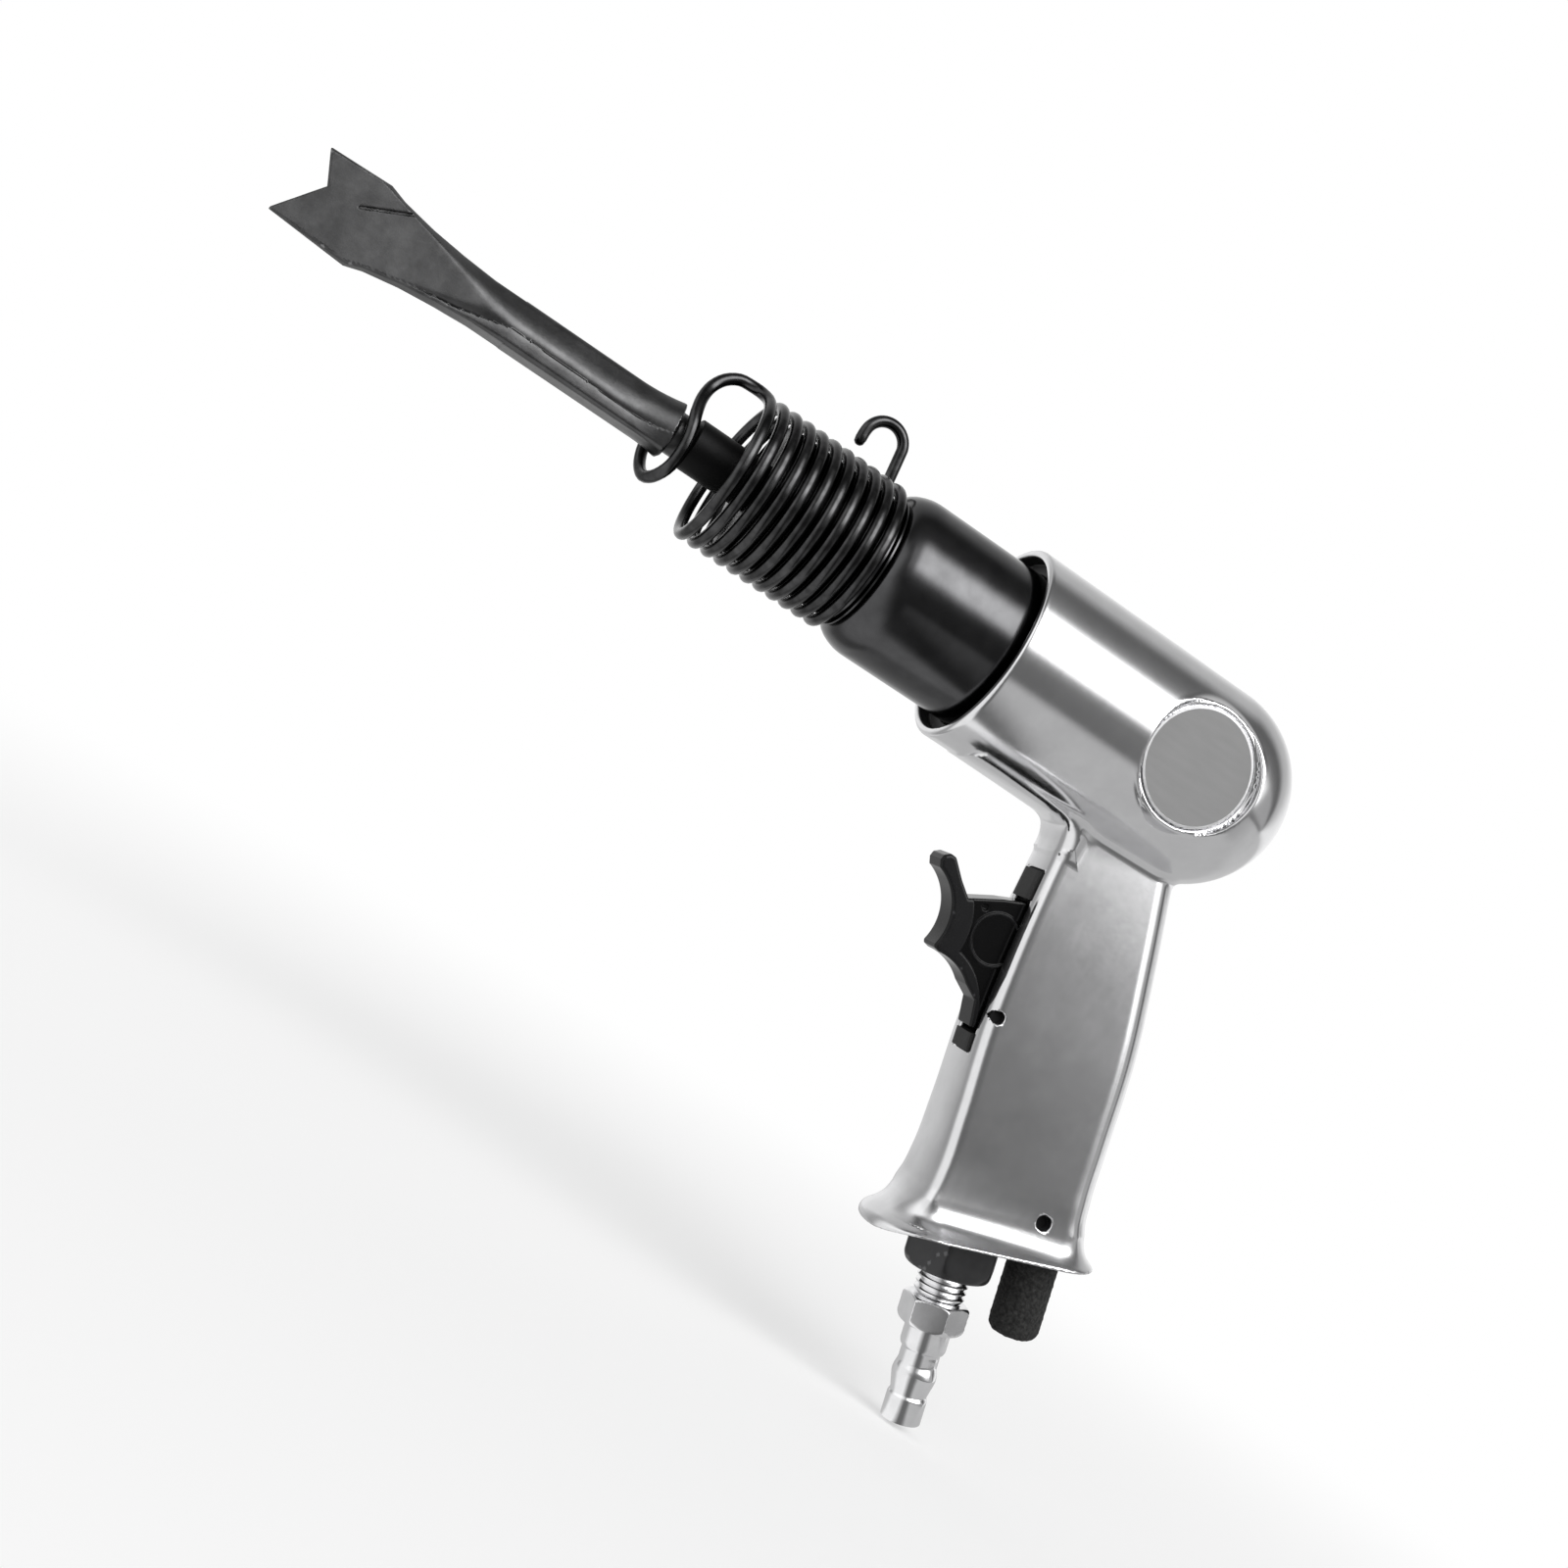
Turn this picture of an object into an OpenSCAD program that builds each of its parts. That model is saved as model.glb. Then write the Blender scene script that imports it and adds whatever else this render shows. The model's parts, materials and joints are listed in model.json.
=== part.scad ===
// Air hammer with a pistol grip, a retainer spring and a flat chisel.
// The origin is the centre of the grip. +X points back, +Z up, and the chisel points to -X.
// The barrel's axis lies level above the grip. The grip leans, with its foot to the rear.

/* [Frame] */
// Height of the barrel's axis above the centre of the grip
axis_h = 66; // [62:0.5:72]
// Lean of the grip, in degrees
rake = 14.5; // [10:0.5:18]

/* [Housing] */
// Outer diameter of the motor housing
housing_d = 45; // [44:0.5:50]
// Length from the front rim to the centre of the round rear end
housing_l = 56.2; // [50:0.1:66]
// Distance of the round end's centre ahead of the grip's centre
dome_ahead = 3.3; // [1:0.1:5]
// Diameter of the mouth around the barrel
mouth_d = 41.4; // [39:0.1:42]
// Depth of the mouth around the barrel
mouth_depth = 3; // [1:0.1:5]
// Half width of the web between the housing and the grip
web_half = 8; // [7:0.1:11]
// Radius of the hollow corner between the grip and the housing
web_fillet = 6; // [4:0.1:9]

/* [Grip] */
// Depth of the grip from its axis to the front
grip_front = 19; // [18:0.1:21]
// Depth of the grip from its axis to the back
grip_back = 19.2; // [18.5:0.1:21]
// Half width of the grip's front
grip_half_front = 9; // [8:0.1:11]
// Half width of the grip's back
grip_half_back = 11.5; // [10:0.1:13]
// Distance from the grip's centre down to the underside of its foot
foot_drop = 41.3; // [40:0.1:46]
// How far the foot reaches ahead of the grip
foot_front_flare = 8.6; // [5:0.1:12]
// How far the foot reaches behind the grip
foot_back_flare = 4.9; // [3:0.1:7]
// Half width of the foot
foot_half = 16; // [14:0.1:18]

/* [Side disc and top plate] */
// Distance of the side discs ahead of the grip's centre
disc_ahead = 12; // [10:0.1:14]
// Diameter of the recess of a side disc
disc_recess_d = 25.7; // [22:0.1:28]
// Distance between the two bosses' faces
boss_width = 39.2; // [38.4:0.1:41]
// Thickness of a side disc
disc_t = 0.8; // [0.5:0.1:1.5]
// Length of the top plate
plate_l = 17; // [12:0.1:20]
// Width of the top plate
plate_w = 10; // [8:0.1:12]
// Thickness of the top plate
plate_t = 0.6; // [0.5:0.1:1.2]

/* [Barrel] */
// Outer diameter of the barrel
barrel_d = 36.2; // [35:0.1:38]
// Length of the barrel that shows ahead of the housing
barrel_show = 30.1; // [26:0.1:36]
// Length of the barrel inside the housing
barrel_in = 45.5; // [40:0.5:46]
// Length of the nose that the spring winds round
nose_l = 28; // [22:0.1:29]
// Radius of the shoulder behind the spring
shoulder_r = 5.3; // [3:0.1:5.5]
// Length of the bore that guides the chisel
shank_guide_l = 30.6; // [22:0.1:34]

/* [Piston] */
// Diameter of the piston
piston_d = 19; // [16:0.1:21]
// Length of the piston
piston_l = 28; // [20:0.5:34]
// Free play between the piston's front stop and the shank
stroke_gap = 0.6; // [0.5:0.1:1]

/* [Valve] */
// Thickness of the valve's front plate
valve_plate_t = 5; // [4:0.1:6]
// Length of the valve's rear case
valve_case_l = 12; // [9:0.1:12.5]
// Diameter of the valve's disc
valve_disc_d = 18.4; // [14:0.1:22]
// Thickness of the valve's disc
valve_disc_t = 1.6; // [1:0.1:2.4]
// Travel of the valve's disc
valve_travel = 0.8; // [0.4:0.1:1.2]

/* [Retainer spring] */
// Mean diameter of the spring
spring_d = 31; // [29:0.1:32]
// Diameter of the spring's wire
wire_d = 2.5; // [2:0.05:2.6]
// Number of curls
curls = 11; // [9:1:12]
// Distance from one curl to the next
curl_pitch = 3.18; // [3.1:0.02:3.6]
// Lean of the curls along the axis, between their near side and their far side
curl_lean = 0.8; // [0.4:0.1:1]
// Distance from the front curl to the hook round the chisel
hook_reach = 10.5; // [9.5:0.1:13]
// Height of the thumb hook above the spring's axis
thumb_h = 28.8; // [25:0.1:32]
// Width of the thumb hook between the middles of its legs
thumb_w = 9; // [7:0.1:12]

/* [Chisel] */
// Diameter of the shank in the barrel
shank_d = 10.16; // [9.6:0.02:10.6]
// Length of the shank inside the barrel's nose
shank_in = 33.6; // [29:0.1:38]
// Diameter of the collar behind the hook
collar_d = 10.8; // [10.6:0.1:11.8]
// Depth of the hook's groove below the collar
groove_depth = 1; // [0.5:0.1:1.4]
// Diameter of the bead ahead of the groove
bead_d = 11.5; // [11.2:0.1:12.6]
// Diameter of the chisel's rod
rod_d = 9.9; // [9.6:0.1:11.4]
// Length from the hook to the cutting tips
chisel_out = 84; // [74:1:110]
// Length of the flattened end
blade_l = 46; // [38:0.5:52]
// Width of the cutting end
blade_w = 17.4; // [14:0.1:22]
// Thickness at the cutting edge
edge_t = 1.6; // [1:0.1:2.4]
// Depth of the notch between the two tips
notch_depth = 5; // [3:0.1:8]
// Travel of the chisel ahead of rest
chisel_fore = 0.8; // [0.4:0.1:0.9]
// Travel of the chisel behind rest
chisel_aft = 0.3; // [0.1:0.1:0.4]

/* [Trigger] */
// Width of the trigger
trigger_w = 7.4; // [6:0.1:8]
// Length of the trigger's slot along the grip
slot_l = 40.4; // [40:0.1:41]
// Height of the trigger's pivot above the grip's centre
pivot_h = 5.6; // [4:0.1:8]
// Distance of the pivot behind the grip's front
pivot_in = 3; // [2.8:0.1:3.6]
// Diameter of the trigger's pin
pin_d = 2.6; // [2.2:0.1:3]
// Angle that the trigger turns through, in degrees
trigger_travel = 9; // [6:0.5:9.5]
// Radius of the upper finger scoop
scoop_upper_r = 11.6; // [11:0.1:13]
// Radius of the lower finger scoop
scoop_lower_r = 11.9; // [11.5:0.1:13]

/* [Throttle] */
// Height of the throttle stem above the grip's centre
stem_h = 20.2; // [18:0.1:22]
// Diameter of the throttle stem
stem_d = 4; // [3.4:0.1:4.4]
// Outer diameter of the throttle bushing
throttle_bush_d = 8; // [7.4:0.1:8.4]
// Length of the throttle bushing
throttle_bush_l = 6; // [5:0.1:6.4]
// Wire of the throttle spring
throttle_wire = 0.6; // [0.5:0.05:0.7]
// Curls of the throttle spring
throttle_curls = 5; // [4:1:6]

/* [Air inlet] */
// Distance of the inlet's axis ahead of the grip's axis
inlet_ahead = 6; // [5:0.1:7]
// Width across the flats of the inlet bushing
bush_flats = 19; // [17:0.5:20]
// Height of the inlet bushing's hexagon
bush_hex_h = 9; // [7:0.1:12]
// Diameter of the inlet bushing's shank
bush_shank_d = 15; // [14:0.1:15.6]
// Diameter of the plug's thread
plug_thread_d = 11.2; // [10.8:0.1:12.4]
// Pitch of the plug's thread
plug_pitch = 1.4; // [1.2:0.1:1.6]
// Length of the plug's thread that shows
plug_thread_show = 6; // [4:0.1:8]
// Width across the flats of the plug
plug_flats = 13; // [12.5:0.5:15]
// Height of the plug's hexagon
plug_hex_h = 6.4; // [5:0.1:8]
// Diameter of the plug's upper stem
plug_stem_d = 10.1; // [9.6:0.1:11]
// Length of the plug's upper stem
plug_stem_l = 5.4; // [4:0.1:7]
// Diameter of the plug's locking groove
plug_groove_d = 8.6; // [8:0.1:9]
// Diameter of the plug's shoulder below the groove
plug_shoulder_d = 9.8; // [9.4:0.1:10.4]
// Length of the plug below its upper stem
plug_tail_l = 15.4; // [14:0.1:20]
// Diameter of the plug's nose
plug_nose_d = 8.8; // [8.2:0.1:9.2]
// Length of the plug's nose
plug_nose_l = 5.4; // [4:0.1:7]
// Bore of the plug
plug_bore_d = 4.8; // [4:0.1:5.6]

/* [Muffler] */
// Distance of the muffler's axis behind the grip's axis
muffler_behind = 13.3; // [12.6:0.1:13.8]
// Diameter of the muffler
muffler_d = 11.4; // [10:0.1:12.4]
// Length of the muffler below the foot
muffler_out = 19.6; // [14:0.1:26]
// Diameter of the muffler's spigot
spigot_d = 8.4; // [7.6:0.1:8.6]
// Length of the muffler's spigot
spigot_l = 12; // [11:0.1:13]
// Height of the muffler's pin above the underside of the foot
muffler_pin_up = 8.3; // [7.5:0.1:9]
// Diameter of the muffler's pin
muffler_pin_d = 3.2; // [2.8:0.1:3.4]

/* [Hidden] */
$fn = 96;

// Clearances
fit = 0.05;
slip = 0.2;
gap = 0.3;
over = 1;
facets = 32;

// Places along the barrel's axis
housing_r = housing_d / 2;
dome_x = -dome_ahead;
rim_x = dome_x - housing_l;
barrel_r = barrel_d / 2;
shoulder_x = rim_x - barrel_show;
nose_x = shoulder_x - nose_l;
barrel_back_x = rim_x + barrel_in;
case_x = barrel_back_x + valve_plate_t;
chamber_x = case_x + valve_case_l;
chamber_r = barrel_r + fit;
wire_r = wire_d / 2;
spring_r = spring_d / 2;
curl_rings = 8;
spring_back_x = shoulder_x - slip - wire_r;
spring_front_x = spring_back_x - (curls - 0.25) * curl_pitch + curl_lean;
hook_x = spring_front_x - hook_reach;
nose_r = spring_r * cos(180 / curl_rings) - wire_r - 0.4;
piston_r = piston_d / 2;
piston_bore_r = piston_r + fit;
shank_r = shank_d / 2;
shank_end_x = nose_x + shank_in;
piston_back_x = barrel_back_x - slip;
piston_stroke = piston_back_x - piston_l - shank_end_x - chisel_aft - stroke_gap;

// Places on the grip, measured across and along its own axis
pivot_u = -grip_front + pivot_in;
slot_w = trigger_w + 2 * slip;
slot_low = pivot_h - 8.9;
slot_high = slot_low + slot_l;
slot_floor = -grip_front + 9.5;
liner_t = 1;
liner_face = slot_floor - liner_t;
liner_block = 6.4;
sweep_r = slot_high - liner_block - pivot_h - 0.4;
trigger_back = liner_face - gap - pivot_u;
throttle_r = throttle_bush_d / 2;
stem_r = stem_d / 2;
stem_head_u = slot_floor + throttle_bush_l + 1.4;
stem_head_t = 2;
throttle_end = slot_floor + 17;
stem_travel = (stem_h - pivot_h) * tan(trigger_travel);
spigot_u = muffler_behind - 1.4;
muffler_pin_u = spigot_u - spigot_d / 2 - muffler_pin_d / 2 + 0.1;
muffler_pin_h = muffler_pin_up - foot_drop;

echo(str("piston stroke ", piston_stroke, ", throttle travel ", stem_travel));

// Turns a drawing with +Z up into one along the barrel's axis, with its foot at place x
module on_axis(x) {
    translate([x, 0, axis_h]) rotate([0, 90, 0]) children();
}

// Leans its children with the grip
module on_grip() {
    rotate([0, -rake, 0]) children();
}

// A bore or rod along the barrel's axis from one place to another
module axis_rod(r, from, to) {
    on_axis(from) cylinder(r = r, h = to - from);
}

// A bore or rod across the grip, at a depth and a height on it
module cross_rod(r, length, u, w) {
    translate([u, 0, w]) rotate([90, 0, 0]) cylinder(r = r, h = length, center = true);
}

// A bore or rod along the grip's height
module upright_rod(r, u, from, to) {
    translate([u, 0, from]) cylinder(r = r, h = to - from);
}

// A bore or rod from the grip's front to its back
module inward_rod(r, w, from, to) {
    translate([from, 0, w]) rotate([0, 90, 0]) cylinder(r = r, h = to - from);
}

// A round passage between two points of the grip's middle plane
module passage(r, a, b) {
    d = b - a;
    translate([a[0], 0, a[1]])
        rotate([0, atan2(d[0], d[1]), 0]) cylinder(r = r, h = norm(d));
}

// One level section of the grip: two round corners in front and two at the back
module grip_section(s) {
    for (side = [-1, 1]) {
        translate([s[1] + s[5], side * (s[3] - s[5]), s[0]]) cylinder(r = s[5], h = 0.2, $fn = facets);
        translate([s[2] - s[6], side * (s[4] - s[6]), s[0]]) cylinder(r = s[6], h = 0.2, $fn = facets);
    }
}

// Section i of the grip, from its root in the housing to the foot:
// height, front, back, half width in front, half width at the back, corner radii in front and at the back
function section(i) =
    i == 0 ? [axis_h - housing_r + 7, -grip_front + 6.6, grip_back - 3, web_half, 11.5, 6, 9] :
    i == 1 ? [24, -grip_front + 2.4, grip_back - 0.6, grip_half_front, grip_half_back, 6, 9] :
    i == 2 ? [4, -grip_front + 0.3, grip_back + 0.5, grip_half_front, grip_half_back, 6, 9] :
    i == 3 ? [-20, -grip_front, grip_back - 0.6, grip_half_front, grip_half_back, 6, 9] :
    i == 4 ? [12 - foot_drop, -grip_front - 0.9, grip_back - 0.9,
              grip_half_front + 0.6, grip_half_back + 0.4, 7, 9] :
    i == 5 ? [5.5 - foot_drop, -grip_front - foot_front_flare * 0.38, grip_back + 0.6,
              grip_half_front + 2.6, grip_half_back + 1.6, 9, 10] :
    [-foot_drop, -grip_front - foot_front_flare, grip_back + foot_back_flare, foot_half, foot_half, 13, 13];

module grip_body() {
    for (i = [0:5]) hull() {
        grip_section(section(i));
        grip_section(section(i + 1));
    }
}

// Web under the housing, with the hollow corner in front of the grip
module web() {
    corner_x = -grip_front - 3.4;
    corner_z = axis_h - housing_r + 0.4;
    rotate([90, 0, 0]) linear_extrude(height = 2 * web_half, center = true) difference() {
        polygon([
            [corner_x - web_fillet - 18, corner_z + 6],
            [corner_x - web_fillet - 18, corner_z + 0.8],
            [corner_x - web_fillet, corner_z],
            [corner_x - web_fillet, corner_z - web_fillet],
            [corner_x + 8, corner_z - web_fillet],
            [corner_x + 8, corner_z + 6]
        ]);
        translate([corner_x - web_fillet, corner_z - web_fillet]) circle(r = web_fillet);
    }
}

// Outline of the motor housing, turned round the barrel's axis
module housing_shell() {
    on_axis(rim_x) rotate_extrude() union() {
        square([housing_r - 0.8, housing_l]);
        translate([0, 0.8]) square([housing_r, housing_l - 0.8]);
        translate([housing_r - 0.8, 0.8]) circle(r = 0.8);
        translate([0, housing_l]) intersection() {
            circle(r = housing_r);
            square(housing_r);
        }
    }
}

module side_boss() {
    translate([-disc_ahead, 0, axis_h]) rotate([90, 0, 0])
        cylinder(d = disc_recess_d + 1.4, h = boss_width, center = true);
}

module side_cuts() {
    for (side = [-1, 1]) translate([-disc_ahead, side * boss_width / 2, axis_h])
        rotate([-90 * side, 0, 0]) {
            cylinder(d = disc_recess_d + 1.8, h = housing_r);
            translate([0, 0, -disc_t]) cylinder(d = disc_recess_d, h = housing_r);
        }
}

plate_floor = axis_h + housing_r - 1.6;
plate_x = dome_x + 5.9 - plate_l / 2;

module top_pocket() {
    translate([plate_x - plate_l / 2 - gap, -plate_w / 2 - over, plate_floor])
        cube([plate_l + 2 * gap, plate_w + 2 * over, 4]);
}

module trigger_slot() {
    translate([-grip_front - 14, -slot_w / 2, slot_low])
        cube([slot_floor + grip_front + 14, slot_w, slot_high - slot_low]);
}

module grip_bores() {
    trigger_slot();
    cross_rod(pin_d / 2 + fit, 2 * housing_d, pivot_u, pivot_h);
    cross_rod(muffler_pin_d / 2 + fit, 2 * housing_d, muffler_pin_u, muffler_pin_h);
    inward_rod(throttle_r + fit, stem_h, slot_floor - over, throttle_end);
    upright_rod(bush_shank_d / 2 + fit, -inlet_ahead, -foot_drop - over, 12 - foot_drop);
    upright_rod(seal_seat_r, -inlet_ahead, -foot_drop - over, 1.7 - foot_drop);
    upright_rod(5, -inlet_ahead, 11 - foot_drop, -14);
    upright_rod(spigot_d / 2 + fit, spigot_u, -foot_drop - over, spigot_l - foot_drop);
    passage(3, [spigot_u, spigot_l - foot_drop - over], [spigot_u - 0.4, axis_h - chamber_r + 0.5]);
    passage(2.4, [2 - inlet_ahead, -17], [slot_floor + 12, stem_h - 1]);
    passage(2.2, [slot_floor + 3.5, stem_h + 2], [slot_floor + 12.6, axis_h - chamber_r + 1]);
}

seal_seat_r = bush_shank_d / 2 + 1.7;

module housing() {
    color("silver") difference() {
        union() {
            housing_shell();
            side_boss();
            web();
            on_grip() grip_body();
        }
        axis_rod(mouth_d / 2, rim_x - over, rim_x + mouth_depth);
        axis_rod(chamber_r, rim_x, chamber_x);
        axis_rod(12, chamber_x - over, chamber_x + 6);
        side_cuts();
        top_pocket();
        on_grip() grip_bores();
    }
}

module barrel() {
    seal_x = barrel_show + nose_l + 8;
    length = nose_l + barrel_show + barrel_in;
    color([0.1, 0.1, 0.11]) on_axis(nose_x) rotate_extrude() difference() {
        union() {
            square([nose_r, length]);
            translate([0, nose_l]) square([barrel_r - shoulder_r, length - nose_l]);
            translate([0, nose_l + shoulder_r]) square([barrel_r, length - nose_l - shoulder_r]);
            translate([barrel_r - shoulder_r, nose_l + shoulder_r]) circle(r = shoulder_r);
        }
        square([shank_r + fit, shank_guide_l + over]);
        translate([0, shank_guide_l]) square([piston_bore_r, length]);
        translate([barrel_r - 1.55, seal_x]) square([3, 2]);
        polygon([[0, -over], [shank_r + fit + over, -over], [shank_r + fit, over], [0, over]]);
    }
}

module barrel_seal() {
    color([0.05, 0.05, 0.05]) on_axis(rim_x + 9) rotate_extrude()
        translate([barrel_r - 0.75, 0]) circle(r = 0.77, $fn = facets);
}

module piston() {
    color("gainsboro") on_axis(piston_back_x - piston_l) rotate_extrude() polygon([
        [0, 0], [piston_r - 3, 0], [piston_r - 2, 1.5], [piston_r - 2, 4], [piston_r, 5],
        [piston_r, piston_l - 0.8], [piston_r - 0.8, piston_l], [0, piston_l]
    ]);
}

module dowel_hole(from, to) {
    translate([0, 0, 14]) axis_rod(1.25, from, to);
}

module valve_plate() {
    color("gray") difference() {
        axis_rod(chamber_r - fit, barrel_back_x, case_x);
        axis_rod(4, barrel_back_x - over, case_x + over);
        for (turn = [0:60:300]) translate([0, 0, axis_h]) rotate([turn + 30, 0, 0])
            translate([barrel_back_x - over, 0, 12.5]) rotate([0, 90, 0]) cylinder(r = 1.5, h = 8);
        dowel_hole(barrel_back_x + 1, case_x + over);
    }
}

module valve_case() {
    pocket = valve_disc_t + valve_travel + slip;
    color("dimgray") difference() {
        axis_rod(chamber_r - fit, case_x, chamber_x);
        axis_rod(valve_disc_d / 2 + 0.1, case_x - over, case_x + pocket);
        axis_rod(5.5, case_x, chamber_x + over);
        for (turn = [0:60:300]) translate([0, 0, axis_h]) rotate([turn, 0, 0])
            translate([case_x + valve_case_l / 2, 0, 4]) cylinder(r = 1.8, h = 20);
        dowel_hole(case_x - over, case_x + 6);
    }
}

module valve_disc() {
    color("silver") difference() {
        axis_rod(valve_disc_d / 2, case_x + 0.1, case_x + 0.1 + valve_disc_t);
        axis_rod(2, case_x, case_x + 3);
    }
}

module valve_dowel() {
    color("silver") translate([0, 0, 14]) axis_rod(1.2, barrel_back_x + 1, case_x + 5.8);
}

// The retainer spring is one wire. Its route is worked out in three runs:
// the hook round the chisel, the curls, and the thumb hook.
function unit(v) = v / norm(v);
function curl_point(turn, r) = [0, -r * sin(turn), axis_h + r * cos(turn)];
function at_x(x, p) = [x, p[1], p[2]];
function curl_x(turn) = spring_front_x + curl_pitch * turn / 360 - curl_lean * (1 - cos(turn));

// Thumb hook: up from the last curl on the far side, over in a half circle, and down ahead of it
thumb_r = thumb_w / 2;
thumb_y = spring_r * 0.6;
thumb_root_x = spring_back_x + 0.8;
thumb_x = spring_back_x - 1.2;
thumb_top = axis_h + thumb_h - thumb_r;
thumb_end = axis_h + spring_r + wire_d + 3;
function thumb_route() = concat(
    [at_x(thumb_root_x, curl_point(-45, spring_r + 0.6)),
     [thumb_root_x - 0.5, thumb_y + 0.6, axis_h + spring_r - 1],
     [thumb_root_x - 1.2, thumb_y + 0.1, axis_h + spring_r + 2.5]],
    [for (a = [0:22.5:180])
        [thumb_x - thumb_r + thumb_r * cos(a), thumb_y, thumb_top + thumb_r * sin(a)]],
    [for (k = [1:2]) [thumb_x - thumb_w, thumb_y, thumb_top + k * (thumb_end - thumb_top) / 2]]
);

// Hook round the chisel, from its free end on the far side, under the chisel, up its near side,
// and back to the first curl: place along the axis, turn about the axis, and radius
hook_r = collar_d / 2 - groove_depth + wire_r + 0.4;
hook_stations = [
    [hook_x - 3.9, 273, hook_r + 2],
    [hook_x - 3.9, 256, hook_r + 2.2],
    [hook_x - 3.7, 233, hook_r + 2.6],
    [hook_x - 3, 209, hook_r + 3.3],
    [hook_x - 2, 187, hook_r + 4],
    [hook_x - 0.9, 166, hook_r + 3.9],
    [hook_x + 0.2, 146, hook_r + 2.9],
    [hook_x + 0.7, 125, hook_r + 1.4],
    [hook_x + 0.6, 98, hook_r + 0.3],
    [hook_x + 0.1, 70, hook_r + 0.2],
    [hook_x - 0.5, 43, hook_r + 0.8],
    [hook_x - 0.6, 18, hook_r + 2.6],
    [hook_x + 0.1, 6, spring_r - 3.9],
    [hook_x + 1.7, 3, spring_r - 1.3],
    [hook_x + 4.2, 2, spring_r + 0.4],
    [hook_x + 6.9, 3, spring_r + 0.7],
    [spring_front_x - 1.2, 8, spring_r + 0.5],
    [spring_front_x + 0.1, 22, spring_r]
];
function hook_route() = [for (s = hook_stations) at_x(s[0], curl_point(s[1], s[2]))];

function curl_route() = [for (k = [1:curls * curl_rings - 2]) let(turn = 360 * k / curl_rings)
    at_x(curl_x(turn), curl_point(turn, spring_r))];

spring_route = concat(hook_route(), curl_route(), thumb_route());

// Directions of a route at each of its points, and a frame carried along it
function route_dir(p) = [for (i = [0:len(p) - 1])
    unit(p[min(i + 1, len(p) - 1)] - p[max(i - 1, 0)])];
function side_of(v, t) = unit(v - (v * t) * t);
function carried(t, first) = [for (i = 0, n = side_of(first, t[0]); i < len(t);
    i = i + 1, n = i < len(t) ? side_of(n, t[i]) : n) n];

// A wire of six sides along a route
module wire(p, r, first) {
    t = route_dir(p);
    n = carried(t, first);
    count = len(p);
    sides = 6;
    points = [for (i = [0:count - 1]) for (k = [0:sides - 1])
        p[i] + r * (cos(360 * k / sides) * n[i] + sin(360 * k / sides) * cross(t[i], n[i]))];
    skin = [for (i = [0:count - 2]) for (k = [0:sides - 1])
        let(a = i * sides + k, b = i * sides + (k + 1) % sides)
        each [[a, a + sides, b], [b, a + sides, b + sides]]];
    caps = [for (k = [1:sides - 2]) each [[0, k, k + 1],
        [(count - 1) * sides, (count - 1) * sides + k + 1, (count - 1) * sides + k]]];
    polyhedron(points = points, faces = concat(skin, caps), convexity = 10);
}

// Least distance between points of a route that are more than a few steps apart
function least_gap(p, skip, d) = min([for (i = [0:len(p) - skip - 1])
    min([for (j = [i + skip:len(p) - 1]) norm(p[i] - p[j])])]) - d;
echo(str("retainer spring, least gap between its turns ", least_gap(spring_route, 5, wire_d)));

module retainer_spring() {
    color([0.13, 0.13, 0.13]) wire(spring_route, wire_r, [1, 0, 0]);
}

// Round part of the chisel, drawn from the shank's end towards the blade
module chisel_round() {
    collar_x = shank_end_x - nose_x + 1;
    groove_x = shank_end_x - hook_x - wire_r - 0.35 - chisel_fore;
    bead_x = shank_end_x - hook_x + wire_r + 0.85 + chisel_aft;
    front_x = shank_end_x - hook_x + chisel_out - blade_l + 4;
    translate([shank_end_x, 0, axis_h]) rotate([0, -90, 0]) rotate_extrude() polygon([
        [0, 0], [shank_r - 1, 0], [shank_r, 1], [shank_r, collar_x], [collar_d / 2, collar_x + 0.6],
        [collar_d / 2, groove_x], [collar_d / 2 - groove_depth, groove_x],
        [collar_d / 2 - groove_depth, bead_x], [bead_d / 2, bead_x + 0.2],
        [bead_d / 2, bead_x + 0.7], [bead_d / 2 - 0.4, bead_x + 2.2], [rod_d / 2, bead_x + 5],
        [rod_d / 2, front_x], [0, front_x]
    ]);
}

// Blade: a flared outline seen from the side, cut to a wedge seen from above
module chisel_blade() {
    tip_x = hook_x - chisel_out;
    root_x = tip_x + blade_l;
    blade_half = blade_w / 2;
    translate([0, 0, axis_h]) intersection() {
        rotate([90, 0, 0]) linear_extrude(height = rod_d, center = true) polygon([
            [root_x, -rod_d / 2], [root_x - 7, -rod_d / 2], [root_x - 14, -rod_d / 2 - 0.5],
            [root_x - 21, -rod_d / 2 - 1.3], [root_x - 28, -rod_d / 2 - 2.6], [root_x - 31.5, -blade_half],
            [tip_x - 1.8, -blade_half + 1], [tip_x + notch_depth, 1.6], [tip_x + 1.8, blade_half - 0.4],
            [root_x - 31.5, blade_half], [root_x - 28, rod_d / 2 + 2.6], [root_x - 21, rod_d / 2 + 1.3],
            [root_x - 14, rod_d / 2 + 0.5], [root_x - 7, rod_d / 2], [root_x, rod_d / 2]
        ]);
        linear_extrude(height = 2 * blade_w, center = true) polygon([
            [root_x + over, -rod_d / 2], [root_x, -rod_d / 2], [tip_x + 8, -edge_t], [tip_x - 4, -edge_t / 2],
            [tip_x - 4, edge_t / 2], [tip_x + 8, edge_t], [root_x, rod_d / 2], [root_x + over, rod_d / 2]
        ]);
    }
}

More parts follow.
